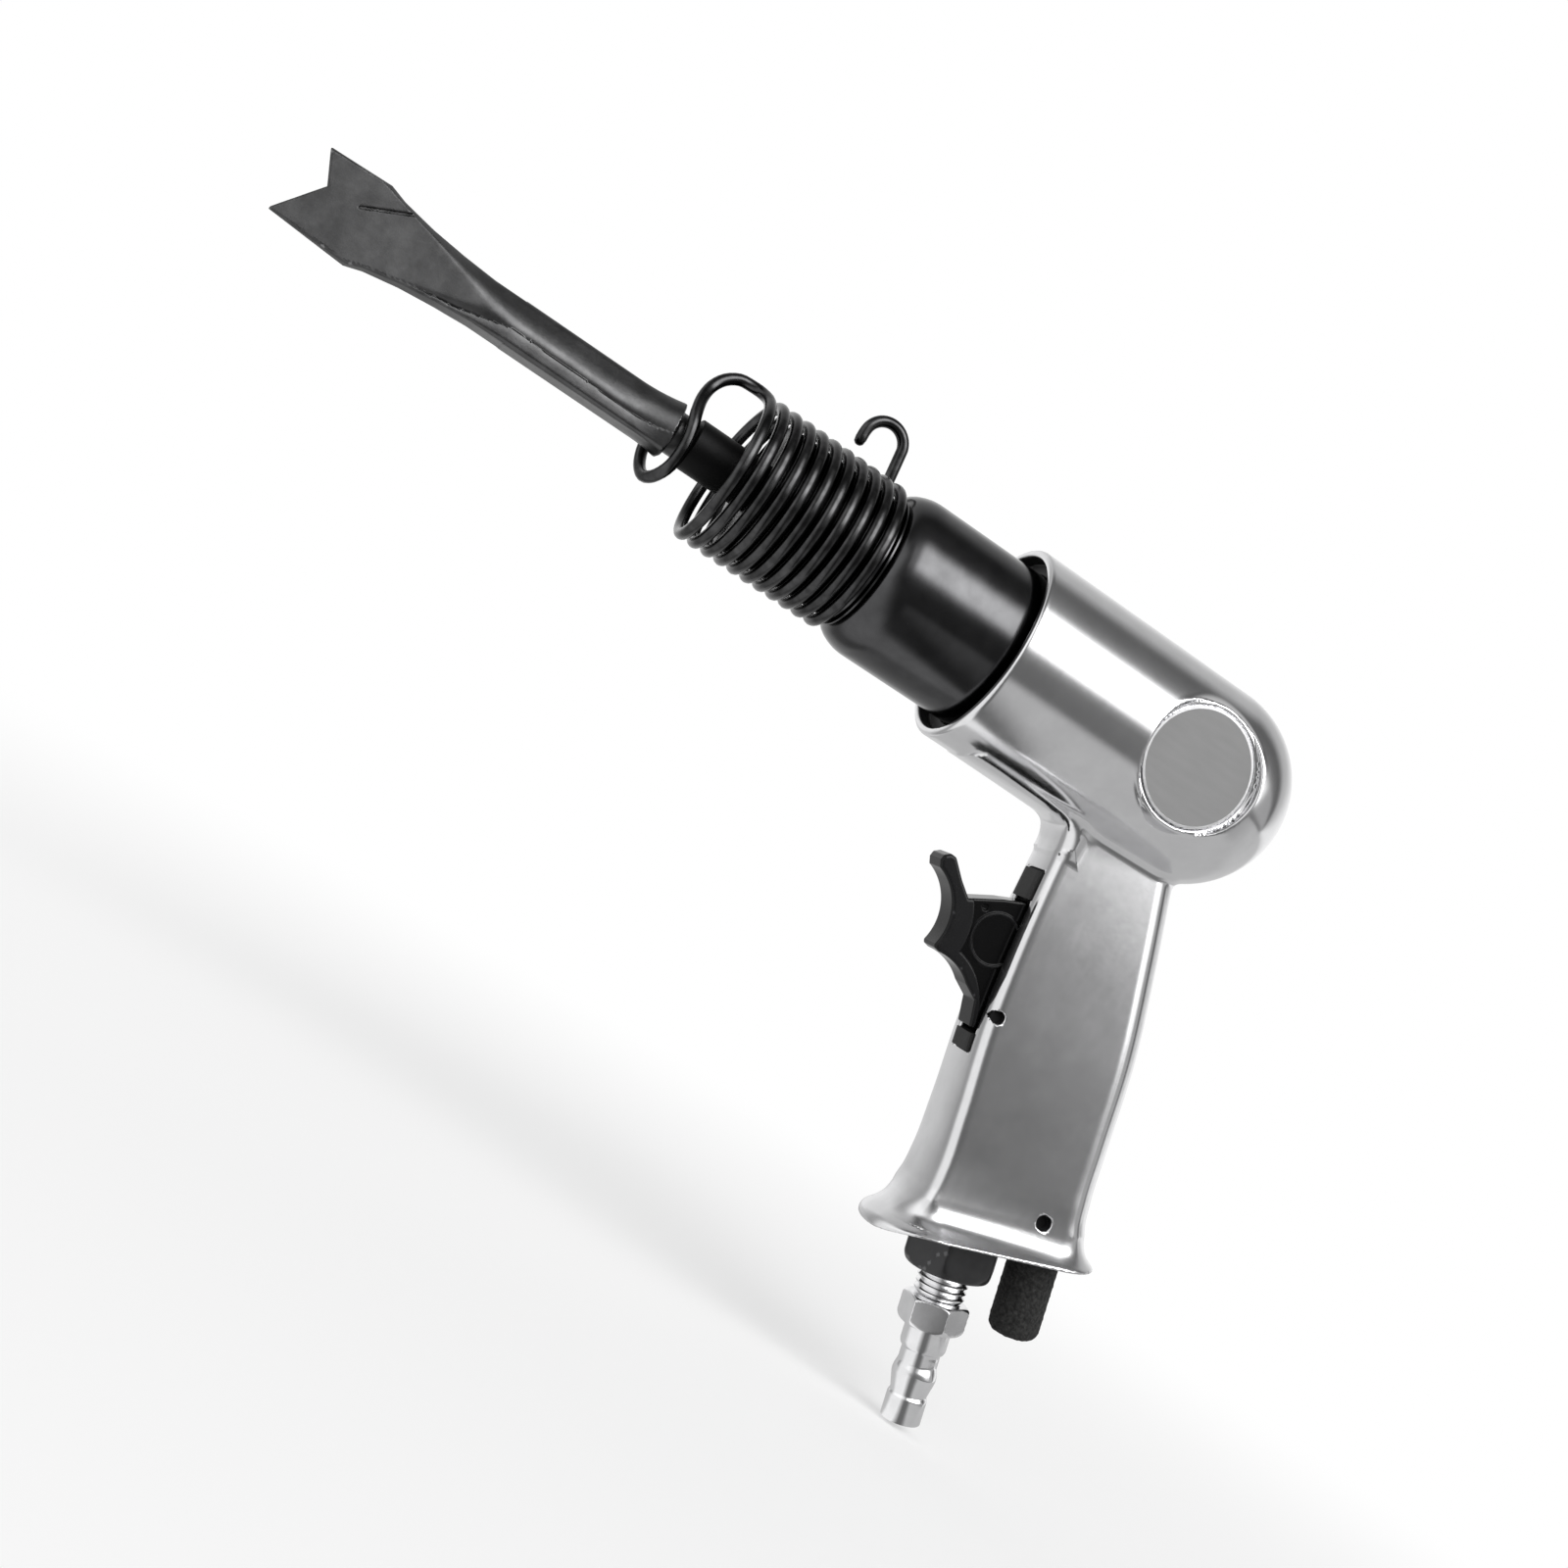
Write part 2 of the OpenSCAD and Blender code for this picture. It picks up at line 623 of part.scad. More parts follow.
module chisel() {
    tip_x = hook_x - chisel_out;
    cone_x = tip_x + blade_l - 6;
    color([0.35, 0.35, 0.36]) union() {
        chisel_round();
        intersection() {
            chisel_blade();
            union() {
                axis_rod(rod_d / 2, tip_x - over, hook_x);
                on_axis(cone_x - 26) cylinder(r1 = rod_d / 2 + 6, r2 = rod_d / 2, h = 26);
                axis_rod(rod_d / 2 + 6, tip_x - 4, cone_x - 26);
            }
        }
    }
}

// Side view of the trigger, measured from its pivot
module trigger_side() {
    top = sweep_r - 0.4;
    lean = tan(trigger_travel);
    back = trigger_back / cos(trigger_travel);
    difference() {
        polygon([
            [-2.2, -4.2], [-3.2, -3.8], [-3.8, 1.6], [-8, 5.6], [-16, 10], [-20.5, 29.1], [-17, 29.8],
            [-14.5, 24.9], [-12, 21.8], [-4, 23.6], [back - top * lean, top],
            [back - 2 * lean, 2], [3.3, -3.2], [2.2, -4.2]
        ]);
        translate([-26.3, 16.4]) circle(r = scoop_upper_r);
        translate([-16.5, -2.4]) circle(r = scoop_lower_r);
    }
}

module trigger() {
    color([0.16, 0.16, 0.17]) on_grip() difference() {
        translate([pivot_u, 0, pivot_h]) rotate([90, 0, 0])
            linear_extrude(height = trigger_w, center = true) trigger_side();
        cross_rod(pin_d / 2 + 0.08, 20, pivot_u, pivot_h);
    }
}

module trigger_pin() {
    color("silver") on_grip() cross_rod(pin_d / 2, 2 * grip_half_front - 3.4, pivot_u, pivot_h);
}

module slot_liner() {
    width = slot_w - 2 * fit;
    color([0.12, 0.12, 0.12]) on_grip() difference() {
        union() {
            translate([liner_face, -width / 2, slot_low]) cube([liner_t, width, slot_high - slot_low]);
            intersection() {
                union() {
                    translate([liner_face - 20, -width / 2, slot_low])
                        cube([20 + fit, width, pivot_h - 5.1 - slot_low]);
                    translate([liner_face - 20, -width / 2, slot_high - liner_block])
                        cube([20 + fit, width, liner_block]);
                }
                grip_body();
            }
        }
        inward_rod(stem_r + gap, stem_h, liner_face - over, slot_floor + over);
    }
}

module throttle_bushing() {
    color("goldenrod") on_grip() difference() {
        inward_rod(throttle_r, stem_h, slot_floor, slot_floor + throttle_bush_l);
        inward_rod(stem_r + fit, stem_h, slot_floor - over, slot_floor + throttle_bush_l + over);
        passage(1.6, [slot_floor + 3.5, stem_h], [slot_floor + 3.5, stem_h + 10]);
    }
}

// Throttle stem with its valve head, drawn from the trigger inwards
module throttle_stem() {
    tip = pivot_u + trigger_back / cos(trigger_travel) - (stem_h - pivot_h) * tan(trigger_travel) + gap;
    head = stem_head_u - tip;
    color("silver") on_grip() translate([tip, 0, stem_h]) rotate([0, 90, 0]) rotate_extrude() polygon([
        [0, 0], [stem_r / 2, 0], [stem_r, 1.2], [stem_r, head - 5.6], [stem_r - 0.7, head - 5],
        [stem_r - 0.7, head - 3], [stem_r, head - 2.4], [stem_r, head], [throttle_r - 0.6, head],
        [throttle_r - 0.6, head + stem_head_t], [stem_r - 0.4, head + stem_head_t],
        [stem_r - 0.4, head + stem_head_t + 1.4], [0, head + stem_head_t + 1.4]
    ]);
}

module throttle_seal() {
    ring_r = 0.62;
    color([0.05, 0.05, 0.05]) on_grip() translate([stem_head_u - ring_r, 0, stem_h])
        rotate([0, 90, 0]) rotate_extrude() translate([stem_r + ring_r + fit, 0]) circle(r = ring_r, $fn = facets);
}

// Throttle spring, between the stem's head and the closed end of its bore
throttle_spring_r = stem_r + 0.4;
throttle_spring_x = stem_head_u + stem_head_t + throttle_wire / 2 + fit;
throttle_spring_l = throttle_end - throttle_spring_x - throttle_wire / 2 - fit;
throttle_route = [for (k = [0:throttle_curls * curl_rings]) let(a = 360 * k / curl_rings) [
    throttle_spring_x + throttle_spring_l * k / (throttle_curls * curl_rings),
    -throttle_spring_r * sin(a), stem_h + throttle_spring_r * cos(a)]];
echo(str("throttle spring, least gap between its turns ", least_gap(throttle_route, 5, throttle_wire)));

module throttle_spring() {
    color("silver") on_grip() wire(throttle_route, throttle_wire / 2, [1, 0, 0]);
}

bush_bore_r = 4.6;
thread_in = 7.6;

module inlet_bushing() {
    color([0.18, 0.18, 0.18]) on_grip() translate([-inlet_ahead, 0, -foot_drop]) difference() {
        union() {
            intersection() {
                translate([0, 0, -bush_hex_h]) cylinder(r = bush_flats / sqrt(3), h = bush_hex_h, $fn = 6);
                translate([0, 0, -bush_hex_h]) cylinder(
                    r1 = bush_flats / 2 - 0.6, r2 = bush_flats / 2 - 0.6 + 2 * bush_hex_h, h = bush_hex_h);
            }
            cylinder(d = bush_shank_d, h = 11.6);
        }
        translate([0, 0, -bush_hex_h - over]) cylinder(d = plug_thread_d - 1 + 2 * fit, h = thread_in + over);
        translate([0, 0, -bush_hex_h]) cylinder(r = bush_bore_r, h = 40);
    }
}

module inlet_seal() {
    color([0.05, 0.05, 0.05]) on_grip() translate([-inlet_ahead, 0, 0.82 - foot_drop]) rotate_extrude()
        translate([bush_shank_d / 2 + 0.85, 0]) circle(r = 0.78, $fn = facets);
}

module inlet_screen() {
    color("silver") on_grip() translate([-inlet_ahead, 0, -foot_drop - bush_hex_h + thread_in])
        rotate_extrude() polygon([
            [0, 0], [bush_bore_r - fit, 0], [bush_bore_r - fit, 1], [bush_bore_r - 1.2, 1.6],
            [bush_bore_r - 2, 10], [0, 10], [0, 9.4], [bush_bore_r - 2.6, 9.4], [bush_bore_r - 1.8, 1.2], [0, 0.6]
        ]);
}

// Air plug, drawn from the thread in the bushing down to the nose
module plug_profile() {
    show = bush_hex_h;
    thread_top = show - thread_in + 0.1;
    thread_end = show + plug_thread_show;
    stem_top = thread_end + plug_hex_h;
    tail = stem_top + plug_stem_l;
    end = tail + plug_tail_l;
    crests = floor(plug_thread_show / plug_pitch);
    root_r = plug_thread_d / 2 - 0.5;
    polygon(concat(
        [[plug_bore_d / 2, -thread_top], [root_r, -thread_top], [root_r, -show - 0.2]],
        [for (k = [0:crests - 1]) each [
            [root_r, -show - 0.2 - k * plug_pitch],
            [plug_thread_d / 2, -show - 0.2 - (k + 0.4) * plug_pitch],
            [plug_thread_d / 2, -show - 0.2 - (k + 0.6) * plug_pitch]]],
        [[root_r, -thread_end], [plug_stem_d / 2 + 0.6, -thread_end],
         [plug_stem_d / 2 + 0.6, -stem_top], [plug_stem_d / 2, -stem_top - 0.3],
         [plug_stem_d / 2, -tail + 0.4], [plug_stem_d / 2 - 0.4, -tail],
         [plug_groove_d / 2, -tail - 0.8], [plug_groove_d / 2, -tail - 3],
         [plug_shoulder_d / 2, -tail - 4.3], [plug_shoulder_d / 2, -tail - 5],
         [plug_nose_d / 2 - 0.35, -end + plug_nose_l + 0.6], [plug_nose_d / 2, -end + plug_nose_l],
         [plug_nose_d / 2, -end], [plug_bore_d / 2, -end]]));
}

module air_plug() {
    hex_z = -bush_hex_h - plug_thread_show - plug_hex_h;
    color("gainsboro") on_grip() translate([-inlet_ahead, 0, -foot_drop]) union() {
        rotate_extrude() plug_profile();
        difference() {
            intersection() {
                translate([0, 0, hex_z]) rotate([0, 0, 30])
                    cylinder(r = plug_flats / sqrt(3), h = plug_hex_h, $fn = 6);
                translate([0, 0, hex_z]) cylinder(
                    r1 = plug_flats / 2 + 0.2, r2 = plug_flats / 2 + 0.2 + 2 * plug_hex_h, h = plug_hex_h);
            }
            translate([0, 0, hex_z - over]) cylinder(d = plug_stem_d, h = plug_hex_h + 2 * over);
        }
    }
}

module muffler() {
    r = muffler_d / 2;
    round_r = 1.8;
    color([0.2, 0.2, 0.19]) on_grip() difference() {
        union() {
            translate([muffler_behind, 0, -foot_drop - muffler_out]) rotate_extrude() union() {
                translate([0, round_r]) square([r, muffler_out - round_r]);
                square([r - round_r, muffler_out]);
                translate([r - round_r, round_r]) circle(r = round_r);
            }
            upright_rod(spigot_d / 2, spigot_u, -foot_drop - over, spigot_l - slip - foot_drop);
        }
        translate([spigot_u, 0, muffler_pin_h]) rotate_extrude()
            translate([spigot_d / 2 - 0.6, -muffler_pin_d / 2 - slip]) square([3, muffler_pin_d + 2 * slip]);
        upright_rod(2.4, spigot_u, -foot_drop - muffler_out + 4, spigot_l + over - foot_drop);
    }
}

module muffler_pin() {
    color("silver") on_grip()
        cross_rod(muffler_pin_d / 2, 2 * grip_half_back - 2.4, muffler_pin_u, muffler_pin_h);
}

module side_disc(side) {
    color([0.6, 0.6, 0.6]) translate([-disc_ahead, side * (boss_width / 2 - disc_t / 2), axis_h])
        rotate([90, 0, 0]) cylinder(d = disc_recess_d - 2 * slip, h = disc_t, center = true);
}

module side_disc_near() {
    side_disc(-1);
}

module side_disc_far() {
    side_disc(1);
}

module top_plate() {
    color([0.7, 0.7, 0.7]) translate([plate_x - plate_l / 2, -plate_w / 2, plate_floor])
        cube([plate_l, plate_w, plate_t]);
}

housing();
barrel();
barrel_seal();
piston();
valve_plate();
valve_case();
valve_disc();
valve_dowel();
retainer_spring();
chisel();
trigger();
trigger_pin();
slot_liner();
throttle_bushing();
throttle_stem();
throttle_seal();
throttle_spring();
inlet_bushing();
inlet_seal();
inlet_screen();
air_plug();
muffler();
muffler_pin();
side_disc_near();
side_disc_far();
top_plate();
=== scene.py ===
import json
import math
from types import SimpleNamespace

import bmesh
import bpy
import numpy as np
from mathutils import Matrix, Vector


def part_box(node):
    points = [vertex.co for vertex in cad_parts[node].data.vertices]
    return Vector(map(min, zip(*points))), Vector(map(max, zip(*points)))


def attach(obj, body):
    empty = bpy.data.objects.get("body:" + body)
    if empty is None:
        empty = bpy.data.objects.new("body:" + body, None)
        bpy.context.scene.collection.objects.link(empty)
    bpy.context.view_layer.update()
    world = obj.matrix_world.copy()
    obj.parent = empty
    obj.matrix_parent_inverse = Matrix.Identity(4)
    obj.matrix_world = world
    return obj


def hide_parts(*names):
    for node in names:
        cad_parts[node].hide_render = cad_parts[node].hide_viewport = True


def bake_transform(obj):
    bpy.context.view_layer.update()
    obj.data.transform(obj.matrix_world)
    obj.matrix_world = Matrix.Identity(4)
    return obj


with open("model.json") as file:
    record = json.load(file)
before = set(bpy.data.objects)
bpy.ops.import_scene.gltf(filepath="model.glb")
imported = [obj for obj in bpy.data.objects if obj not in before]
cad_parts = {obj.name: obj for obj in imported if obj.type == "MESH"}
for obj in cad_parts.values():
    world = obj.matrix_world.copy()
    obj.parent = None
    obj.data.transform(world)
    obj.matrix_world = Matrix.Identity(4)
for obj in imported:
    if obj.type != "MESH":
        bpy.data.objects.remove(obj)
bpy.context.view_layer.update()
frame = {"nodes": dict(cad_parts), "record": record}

bl_info = {
    "name": "Air Hammer",
    "version": (1, 0, 0),
    "blender": (4, 5, 0),
    "location": "3D View > Sidebar > Air Hammer",
    "description": "Builds the visible pieces of an air hammer with a flat chisel over its frame",
    "category": "Add Mesh",
}


# Sizes and colours that a user can change

def length(name, description, millimetres):
    return bpy.props.FloatProperty(
        name=name, description=description, default=millimetres / 1000, unit="LENGTH", precision=5)


def tint(name, description, red, green, blue):
    return bpy.props.FloatVectorProperty(
        name=name, description=description, default=(red, green, blue), size=3, min=0, max=1, subtype="COLOR")


def share(name, description, value):
    return bpy.props.FloatProperty(
        name=name, description=description, default=value, min=0, max=1, subtype="FACTOR")


class HousingSizes(bpy.types.PropertyGroup):
    axis_height: length("Axis height", "Height of the barrel's axis above the grip's centre", 66)
    rake: bpy.props.FloatProperty(
        name="Rake", description="Lean of the grip", default=math.radians(14.5), subtype="ANGLE")
    diameter: length("Diameter", "Outer diameter of the motor housing", 45)
    front_x: length("Front", "Place of the front rim along the barrel's axis", -59.5)
    dome_x: length("Round end", "Place of the round end's centre", -3.3)
    mouth_diameter: length("Mouth", "Diameter of the mouth round the barrel", 41.4)
    mouth_depth: length("Mouth depth", "Depth of the mouth round the barrel", 3)
    chamber_end: length("Chamber end", "Where the barrel's chamber ends", 3)
    web_half: length("Web", "Half width of the web under the housing", 8.8)
    web_fillet: length("Web hollow", "Radius of the hollow in front of the grip", 6)
    grip_front: length("Grip front", "From the grip's axis to its front", 19)
    grip_back: length("Grip back", "From the grip's axis to its back", 19.2)
    half_front: length("Front half width", "Half width of the grip's front", 9)
    half_back: length("Back half width", "Half width of the grip's back", 11.5)
    foot_drop: length("Foot", "From the grip's centre down to the foot", 41.3)
    foot_half: length("Foot half width", "Half width of the foot", 16)
    disc_ahead: length("Disc place", "Distance of the side discs ahead of the grip's centre", 12)
    recess_diameter: length("Disc recess", "Diameter of the recess of a side disc", 25.7)
    boss_width: length("Boss width", "Distance between the bosses' faces", 39.2)
    skin_step: length("Skin step", "Spacing of the points that the castings are drawn on", 0.5)


class BarrelSizes(bpy.types.PropertyGroup):
    diameter: length("Diameter", "Outer diameter of the barrel", 36.2)
    nose_x: length("Nose", "Place of the barrel's front end", -117.6)
    shoulder_x: length("Shoulder", "Place of the shoulder behind the spring", -89.6)
    back_x: length("Back", "Place of the barrel's back end", -14)
    nose_radius: length("Nose radius", "Radius of the nose inside the spring", 13.9)
    guide_length: length("Guide", "Length of the chisel's guide", 30.6)
    guide_radius: length("Guide radius", "Radius of the chisel's guide", 5.13)
    piston_radius: length("Piston bore", "Radius of the piston's bore", 9.55)


class SpringSizes(bpy.types.PropertyGroup):
    radius: length("Radius", "Radius of the curls at the wire's middle", 15.5)
    wire: length("Wire", "Diameter of the wire", 2.5)
    pitch: length("Pitch", "From one curl to the next", 3.18)
    lean: length("Lean", "Lean of the curls along the axis", 0.8)
    back_x: length("Back", "Place of the last curl", -91.05)
    reach: length("Reach", "From the front curl to the hook", 10.5)
    hook_radius: length("Hook radius", "Radius of the hook round the chisel", 6.2)
    thumb_height: length("Thumb hook", "Height of the thumb hook above the axis", 28.8)
    thumb_width: length("Thumb hook width", "Width of the thumb hook", 9)
    curls: bpy.props.IntProperty(name="Curls", description="Number of curls", default=11, min=3, max=20)


class ChiselSizes(bpy.types.PropertyGroup):
    shank: length("Shank", "Diameter of the shank", 10.16)
    back_x: length("Back", "Place of the shank's end in the barrel", -84)
    collar: length("Collar", "Diameter of the collar behind the hook", 10.8)
    bead: length("Bead", "Diameter of the bead ahead of the hook", 11.5)
    groove: length("Groove", "Diameter of the groove that the hook lies in", 8.8)
    rod: length("Rod", "Diameter of the rod", 9.9)
    reach: length("Reach", "From the hook to the cutting tips", 84)
    blade: length("Blade", "Length of the flattened end", 46)
    width: length("Width", "Width of the cutting end", 17.4)
    edge: length("Edge", "Thickness near the cutting edge", 1.6)
    notch: length("Notch", "Depth of the notch between the tips", 5)


class TriggerSizes(bpy.types.PropertyGroup):
    width: length("Width", "Width of the trigger", 7.4)
    pivot_u: length("Pivot depth", "Depth of the pivot, measured from the grip's axis", -16)
    pivot_w: length("Pivot height", "Height of the pivot along the grip", 5.6)
    upper_scoop: length("Upper scoop", "Radius of the upper finger scoop", 11.6)
    lower_scoop: length("Lower scoop", "Radius of the lower finger scoop", 11.9)
    body_step: length("Body step", "How far the body lies under the finger blade's side", 0.45)


class InletSizes(bpy.types.PropertyGroup):
    ahead: length("Inlet", "Distance of the inlet's axis ahead of the grip's axis", 6)
    nut_flats: length("Bushing flats", "Width across the bushing's flats", 19)
    nut_height: length("Bushing height", "Height of the bushing's hexagon", 9)
    thread: length("Thread", "Diameter of the plug's thread", 11.2)
    thread_pitch: length("Thread pitch", "Pitch of the plug's thread", 1.4)
    thread_length: length("Thread length", "Length of the thread that shows", 6)
    plug_flats: length("Plug flats", "Width across the plug's flats", 13)
    plug_hex: length("Plug hexagon", "Height of the plug's hexagon", 6.4)
    stem: length("Stem", "Diameter of the plug's upper stem", 10.1)
    stem_length: length("Stem length", "Length of the plug's upper stem", 5.4)
    groove: length("Groove", "Diameter of the locking groove", 8.6)
    shoulder: length("Shoulder", "Diameter of the shoulder below the groove", 9.8)
    tail_length: length("Tail", "Length of the plug below its stem", 15.4)
    nose: length("Nose", "Diameter of the plug's nose", 8.8)
    nose_length: length("Nose length", "Length of the plug's nose", 5.4)
    bore: length("Bore", "Bore of the plug", 4.8)
    muffler_behind: length("Muffler place", "Distance of the muffler behind the grip's axis", 13.3)
    muffler: length("Muffler", "Diameter of the muffler", 11.4)
    muffler_out: length("Muffler length", "Length of the muffler below the foot", 19.6)


class Finishes(bpy.types.PropertyGroup):
    casting: tint("Casting", "Polished aluminium of the housing", 0.80, 0.80, 0.81)
    barrel: tint("Barrel", "Black finish of the barrel", 0.075, 0.075, 0.077)
    wire: tint("Wire", "Oiled black of the spring", 0.055, 0.055, 0.056)
    forging: tint("Forging", "Dark steel of the chisel", 0.085, 0.085, 0.086)
    trigger: tint("Trigger", "Black of the trigger", 0.008, 0.008, 0.0085)
    liner: tint("Liner", "Black of the slot's liner", 0.012, 0.012, 0.012)
    chrome: tint("Chrome", "Bright plating of the air plug", 0.86, 0.86, 0.87)
    bushing: tint("Bushing", "Black oxide of the bushing", 0.045, 0.045, 0.046)
    muffler: tint("Muffler", "Porous sinter of the muffler", 0.017, 0.017, 0.0165)
    plate: tint("Plate", "Grey of the side discs", 0.195, 0.195, 0.195)
    brass: tint("Brass", "Machined brass", 0.62, 0.45, 0.18)
    steel: tint("Steel", "Ground steel of the inner pieces", 0.5, 0.5, 0.51)
    rubber: tint("Rubber", "Black rubber of the seals", 0.02, 0.02, 0.02)
    polish: share("Polish", "Roughness of the polished casting", 0.13)


class StageSettings(bpy.types.PropertyGroup):
    lens: bpy.props.FloatProperty(
        name="Lens", description="Focal length of the camera", default=45.01, unit="CAMERA")
    floor: tint("Floor", "Colour of the floor near the object", 0.86, 0.86, 0.86)
    key: bpy.props.FloatProperty(
        name="Key", description="Brightness of the long soft light above", default=5.0, min=0, max=10)
    room: bpy.props.FloatProperty(
        name="Room", description="Brightness of the room round the object", default=1.0, min=0, max=2)


def sizes(name):
    return getattr(bpy.context.scene, "hammer_" + name)


def in_mm(*names):
    """The named groups with their lengths in millimetres, and their other values as they are."""
    groups = []
    for group in map(sizes, names):
        values = {}
        for prop in group.bl_rna.properties:
            value = getattr(group, prop.identifier)
            values[prop.identifier] = value * 1000 if getattr(prop, "unit", "NONE") == "LENGTH" else value
        groups.append(SimpleNamespace(**values))
    return groups


# Shader expressions: an operator on a socket adds its Math node

class Socket:
    def __init__(self, tree, socket):
        self.tree = tree
        self.socket = socket

    def math(self, operation, *others):
        inputs = dict(enumerate((self, *others)))
        return add_node(self.tree, "Math", inputs, operation=operation).out()

    def __add__(self, other):
        return self.math("ADD", other)

    def __sub__(self, other):
        return self.math("SUBTRACT", other)

    def __rsub__(self, other):
        return add_node(self.tree, "Math", {0: other, 1: self}, operation="SUBTRACT").out()

    def __mul__(self, other):
        return self.math("MULTIPLY", other)

    def __truediv__(self, other):
        return self.math("DIVIDE", other)

    def __pow__(self, other):
        return self.math("POWER", other)

    __radd__ = __add__
    __rmul__ = __mul__


class Node:
    def __init__(self, tree, node):
        self.tree = tree
        self.node = node

    def out(self, key=0):
        return Socket(self.tree, self.node.outputs[key])


def add_node(tree, kind, inputs, **settings):
    """A shader node of a kind, with its settings made first, then its sockets' values or links."""
    node = tree.nodes.new("ShaderNode" + kind)
    for key, value in settings.items():
        if key == "stops":
            ramp = node.color_ramp
            while len(ramp.elements) > 1:
                ramp.elements.remove(ramp.elements[-1])
            for i, (place, grey) in enumerate(value):
                stop = ramp.elements[0] if i == 0 else ramp.elements.new(place)
                stop.position = place
                stop.color = (grey, grey, grey, 1)
        else:
            setattr(node, key, value)
    for key, value in inputs.items():
        if isinstance(value, Socket):
            tree.links.new(value.socket, node.inputs[key])
        else:
            node.inputs[key].default_value = value
    return Node(tree, node)


def ranged(tree, value, low, high, easing="LINEAR"):
    return add_node(tree, "MapRange", {0: value, 1: low, 2: high}, interpolation_type=easing).out()


def faded(tree, value, low, high):
    return ranged(tree, value, low, high, "SMOOTHSTEP")


def mixed_colour(tree, factor, first, second):
    return add_node(tree, "Mix", {0: factor, 6: first, 7: second}, data_type="RGBA").out(2)


def mixed_shader(tree, factor, first, second):
    return add_node(tree, "MixShader", {0: factor, 1: first, 2: second}).out()


def shade(colour, factor):
    return tuple(min(1, c * factor) for c in colour)


class Finish:
    """A material with a Principled shader, whose patterns lie in the object's own metres."""

    def __init__(self, name, **constants):
        self.material = bpy.data.materials.new(name)
        self.material.use_nodes = True
        self.tree = self.material.node_tree
        self.shader = next(n for n in self.tree.nodes if n.type == "BSDF_PRINCIPLED")
        self.place = add_node(self.tree, "TexCoord", {}).out("Object")
        for key, value in constants.items():
            self.shader.inputs[key.replace("_", " ").title().replace("Ior", "IOR")].default_value = value

    def link(self, name, value):
        self.tree.links.new(value.socket, self.shader.inputs[name])

    def part(self, axis):
        return add_node(self.tree, "SeparateXYZ", {0: self.place}).out(axis)

    def noise(self, scale, detail=3, rough=0.5, stretch=(1, 1, 1)):
        place = add_node(self.tree, "VectorMath", {0: self.place, 1: stretch}, operation="MULTIPLY").out()
        return add_node(self.tree, "TexNoise", {
            "Vector": place, "Scale": scale, "Detail": detail, "Roughness": rough}).out()

    def band(self, value, low, high):
        return ranged(self.tree, value, low, high)

    def edges(self, low, high):
        point = add_node(self.tree, "NewGeometry", {}).out("Pointiness")
        return self.band(point, low, high)

    def mixed(self, factor, *colours):
        return mixed_colour(self.tree, factor, *(c if isinstance(c, Socket) else (*c, 1) for c in colours))

    def shades(self, factor, colour, first, second):
        return self.mixed(factor, shade(colour, first), shade(colour, second))

    def done(self, colour, rough, height, distance, strength):
        """Links the colour, the roughness and the bump, and gives the material."""
        self.link("Base Color", colour)
        self.link("Roughness", rough)
        self.link("Normal", add_node(self.tree, "Bump", {
            "Strength": strength, "Distance": distance, "Height": height}).out())
        return self.material


def clouded(name, colour, scale, shades, rough, bump, reach=(0, 1), fine=None, **constants):
    """A finish whose shade and roughness drift with one noise. The bump is that noise, or a finer one with a
    part of it."""
    m = Finish(name, **constants)
    cloud = m.noise(scale)
    height = m.noise(fine[0], 2) + cloud * fine[1] if fine else cloud
    tone = m.shades(m.band(cloud, *reach), colour, *shades)
    return m.done(tone, rough[0] + rough[1] * cloud, height, *bump)


def barrel_black(f):
    return clouded("barrel black", f.barrel, 220, (0.85, 1.15), (0.13, 0.06), (0.00001, 0.15),
                   (0.3, 0.7), (2600, 0.0), metallic=1.0)


def oiled_wire(f):
    return clouded("oiled wire", f.wire, 420, (0.7, 1.4), (0.14, 0.16), (0.00002, 0.2),
                   (0.35, 0.7), (3600, 1.0), metallic=1.0)


def bright_chrome(f):
    return clouded("bright chrome", f.chrome, 300, (1, 0.9), (0.06, 0.07), (0.00003, 0.3),
                   (0.3, 0.75), metallic=1.0)


def liner_black(f):
    return clouded("liner black", f.liner, 1800, (0.7, 1.4), (0.5, 0.2), (0.00004, 0.3))


def seal_rubber(f):
    return clouded("seal rubber", f.rubber, 1500, (0.8, 1.4), (0.6, 0.15), (0.00002, 0.3))


def polished_casting(f):
    m = Finish("polished casting", metallic=1.0)
    broad = m.noise(38, 2)
    cloud = m.noise(160, 4, 0.6)
    fine = m.noise(900, 3, 0.6, (1, 1, 0.25))
    s = sizes("housing")
    mouth_radius, mouth_floor = s.mouth_diameter / 2, s.front_x + s.mouth_depth
    ring = (m.part(1) ** 2.0 + (m.part(2) - s.axis_height) ** 2.0) ** 0.5
    # Painted shade: inside the mouth round the barrel the casting is painted near black (a casting shade of
    # 0.12) and made rough, standing in for the shade in the mouth's recess
    inside = m.band(ring, mouth_radius + 0.0003, mouth_radius + 0.0001) * m.band(
        m.part(0), mouth_floor + 0.002, mouth_floor)
    foot = m.band(m.part(2), -0.026, -0.034)
    bright = m.shades(m.band(cloud, 0.35, 0.7), f.casting, 0.93, 1)
    rough = f.polish + 0.1 * foot + 0.4 * inside + 0.08 * (broad - 0.5) + 0.06 * (fine - 0.4)
    height = broad * 0.5 + cloud * 0.12 + fine * 0.02
    return m.done(m.mixed(inside, bright, shade(f.casting, 0.12)), rough, height, 0.0004, 0.25)


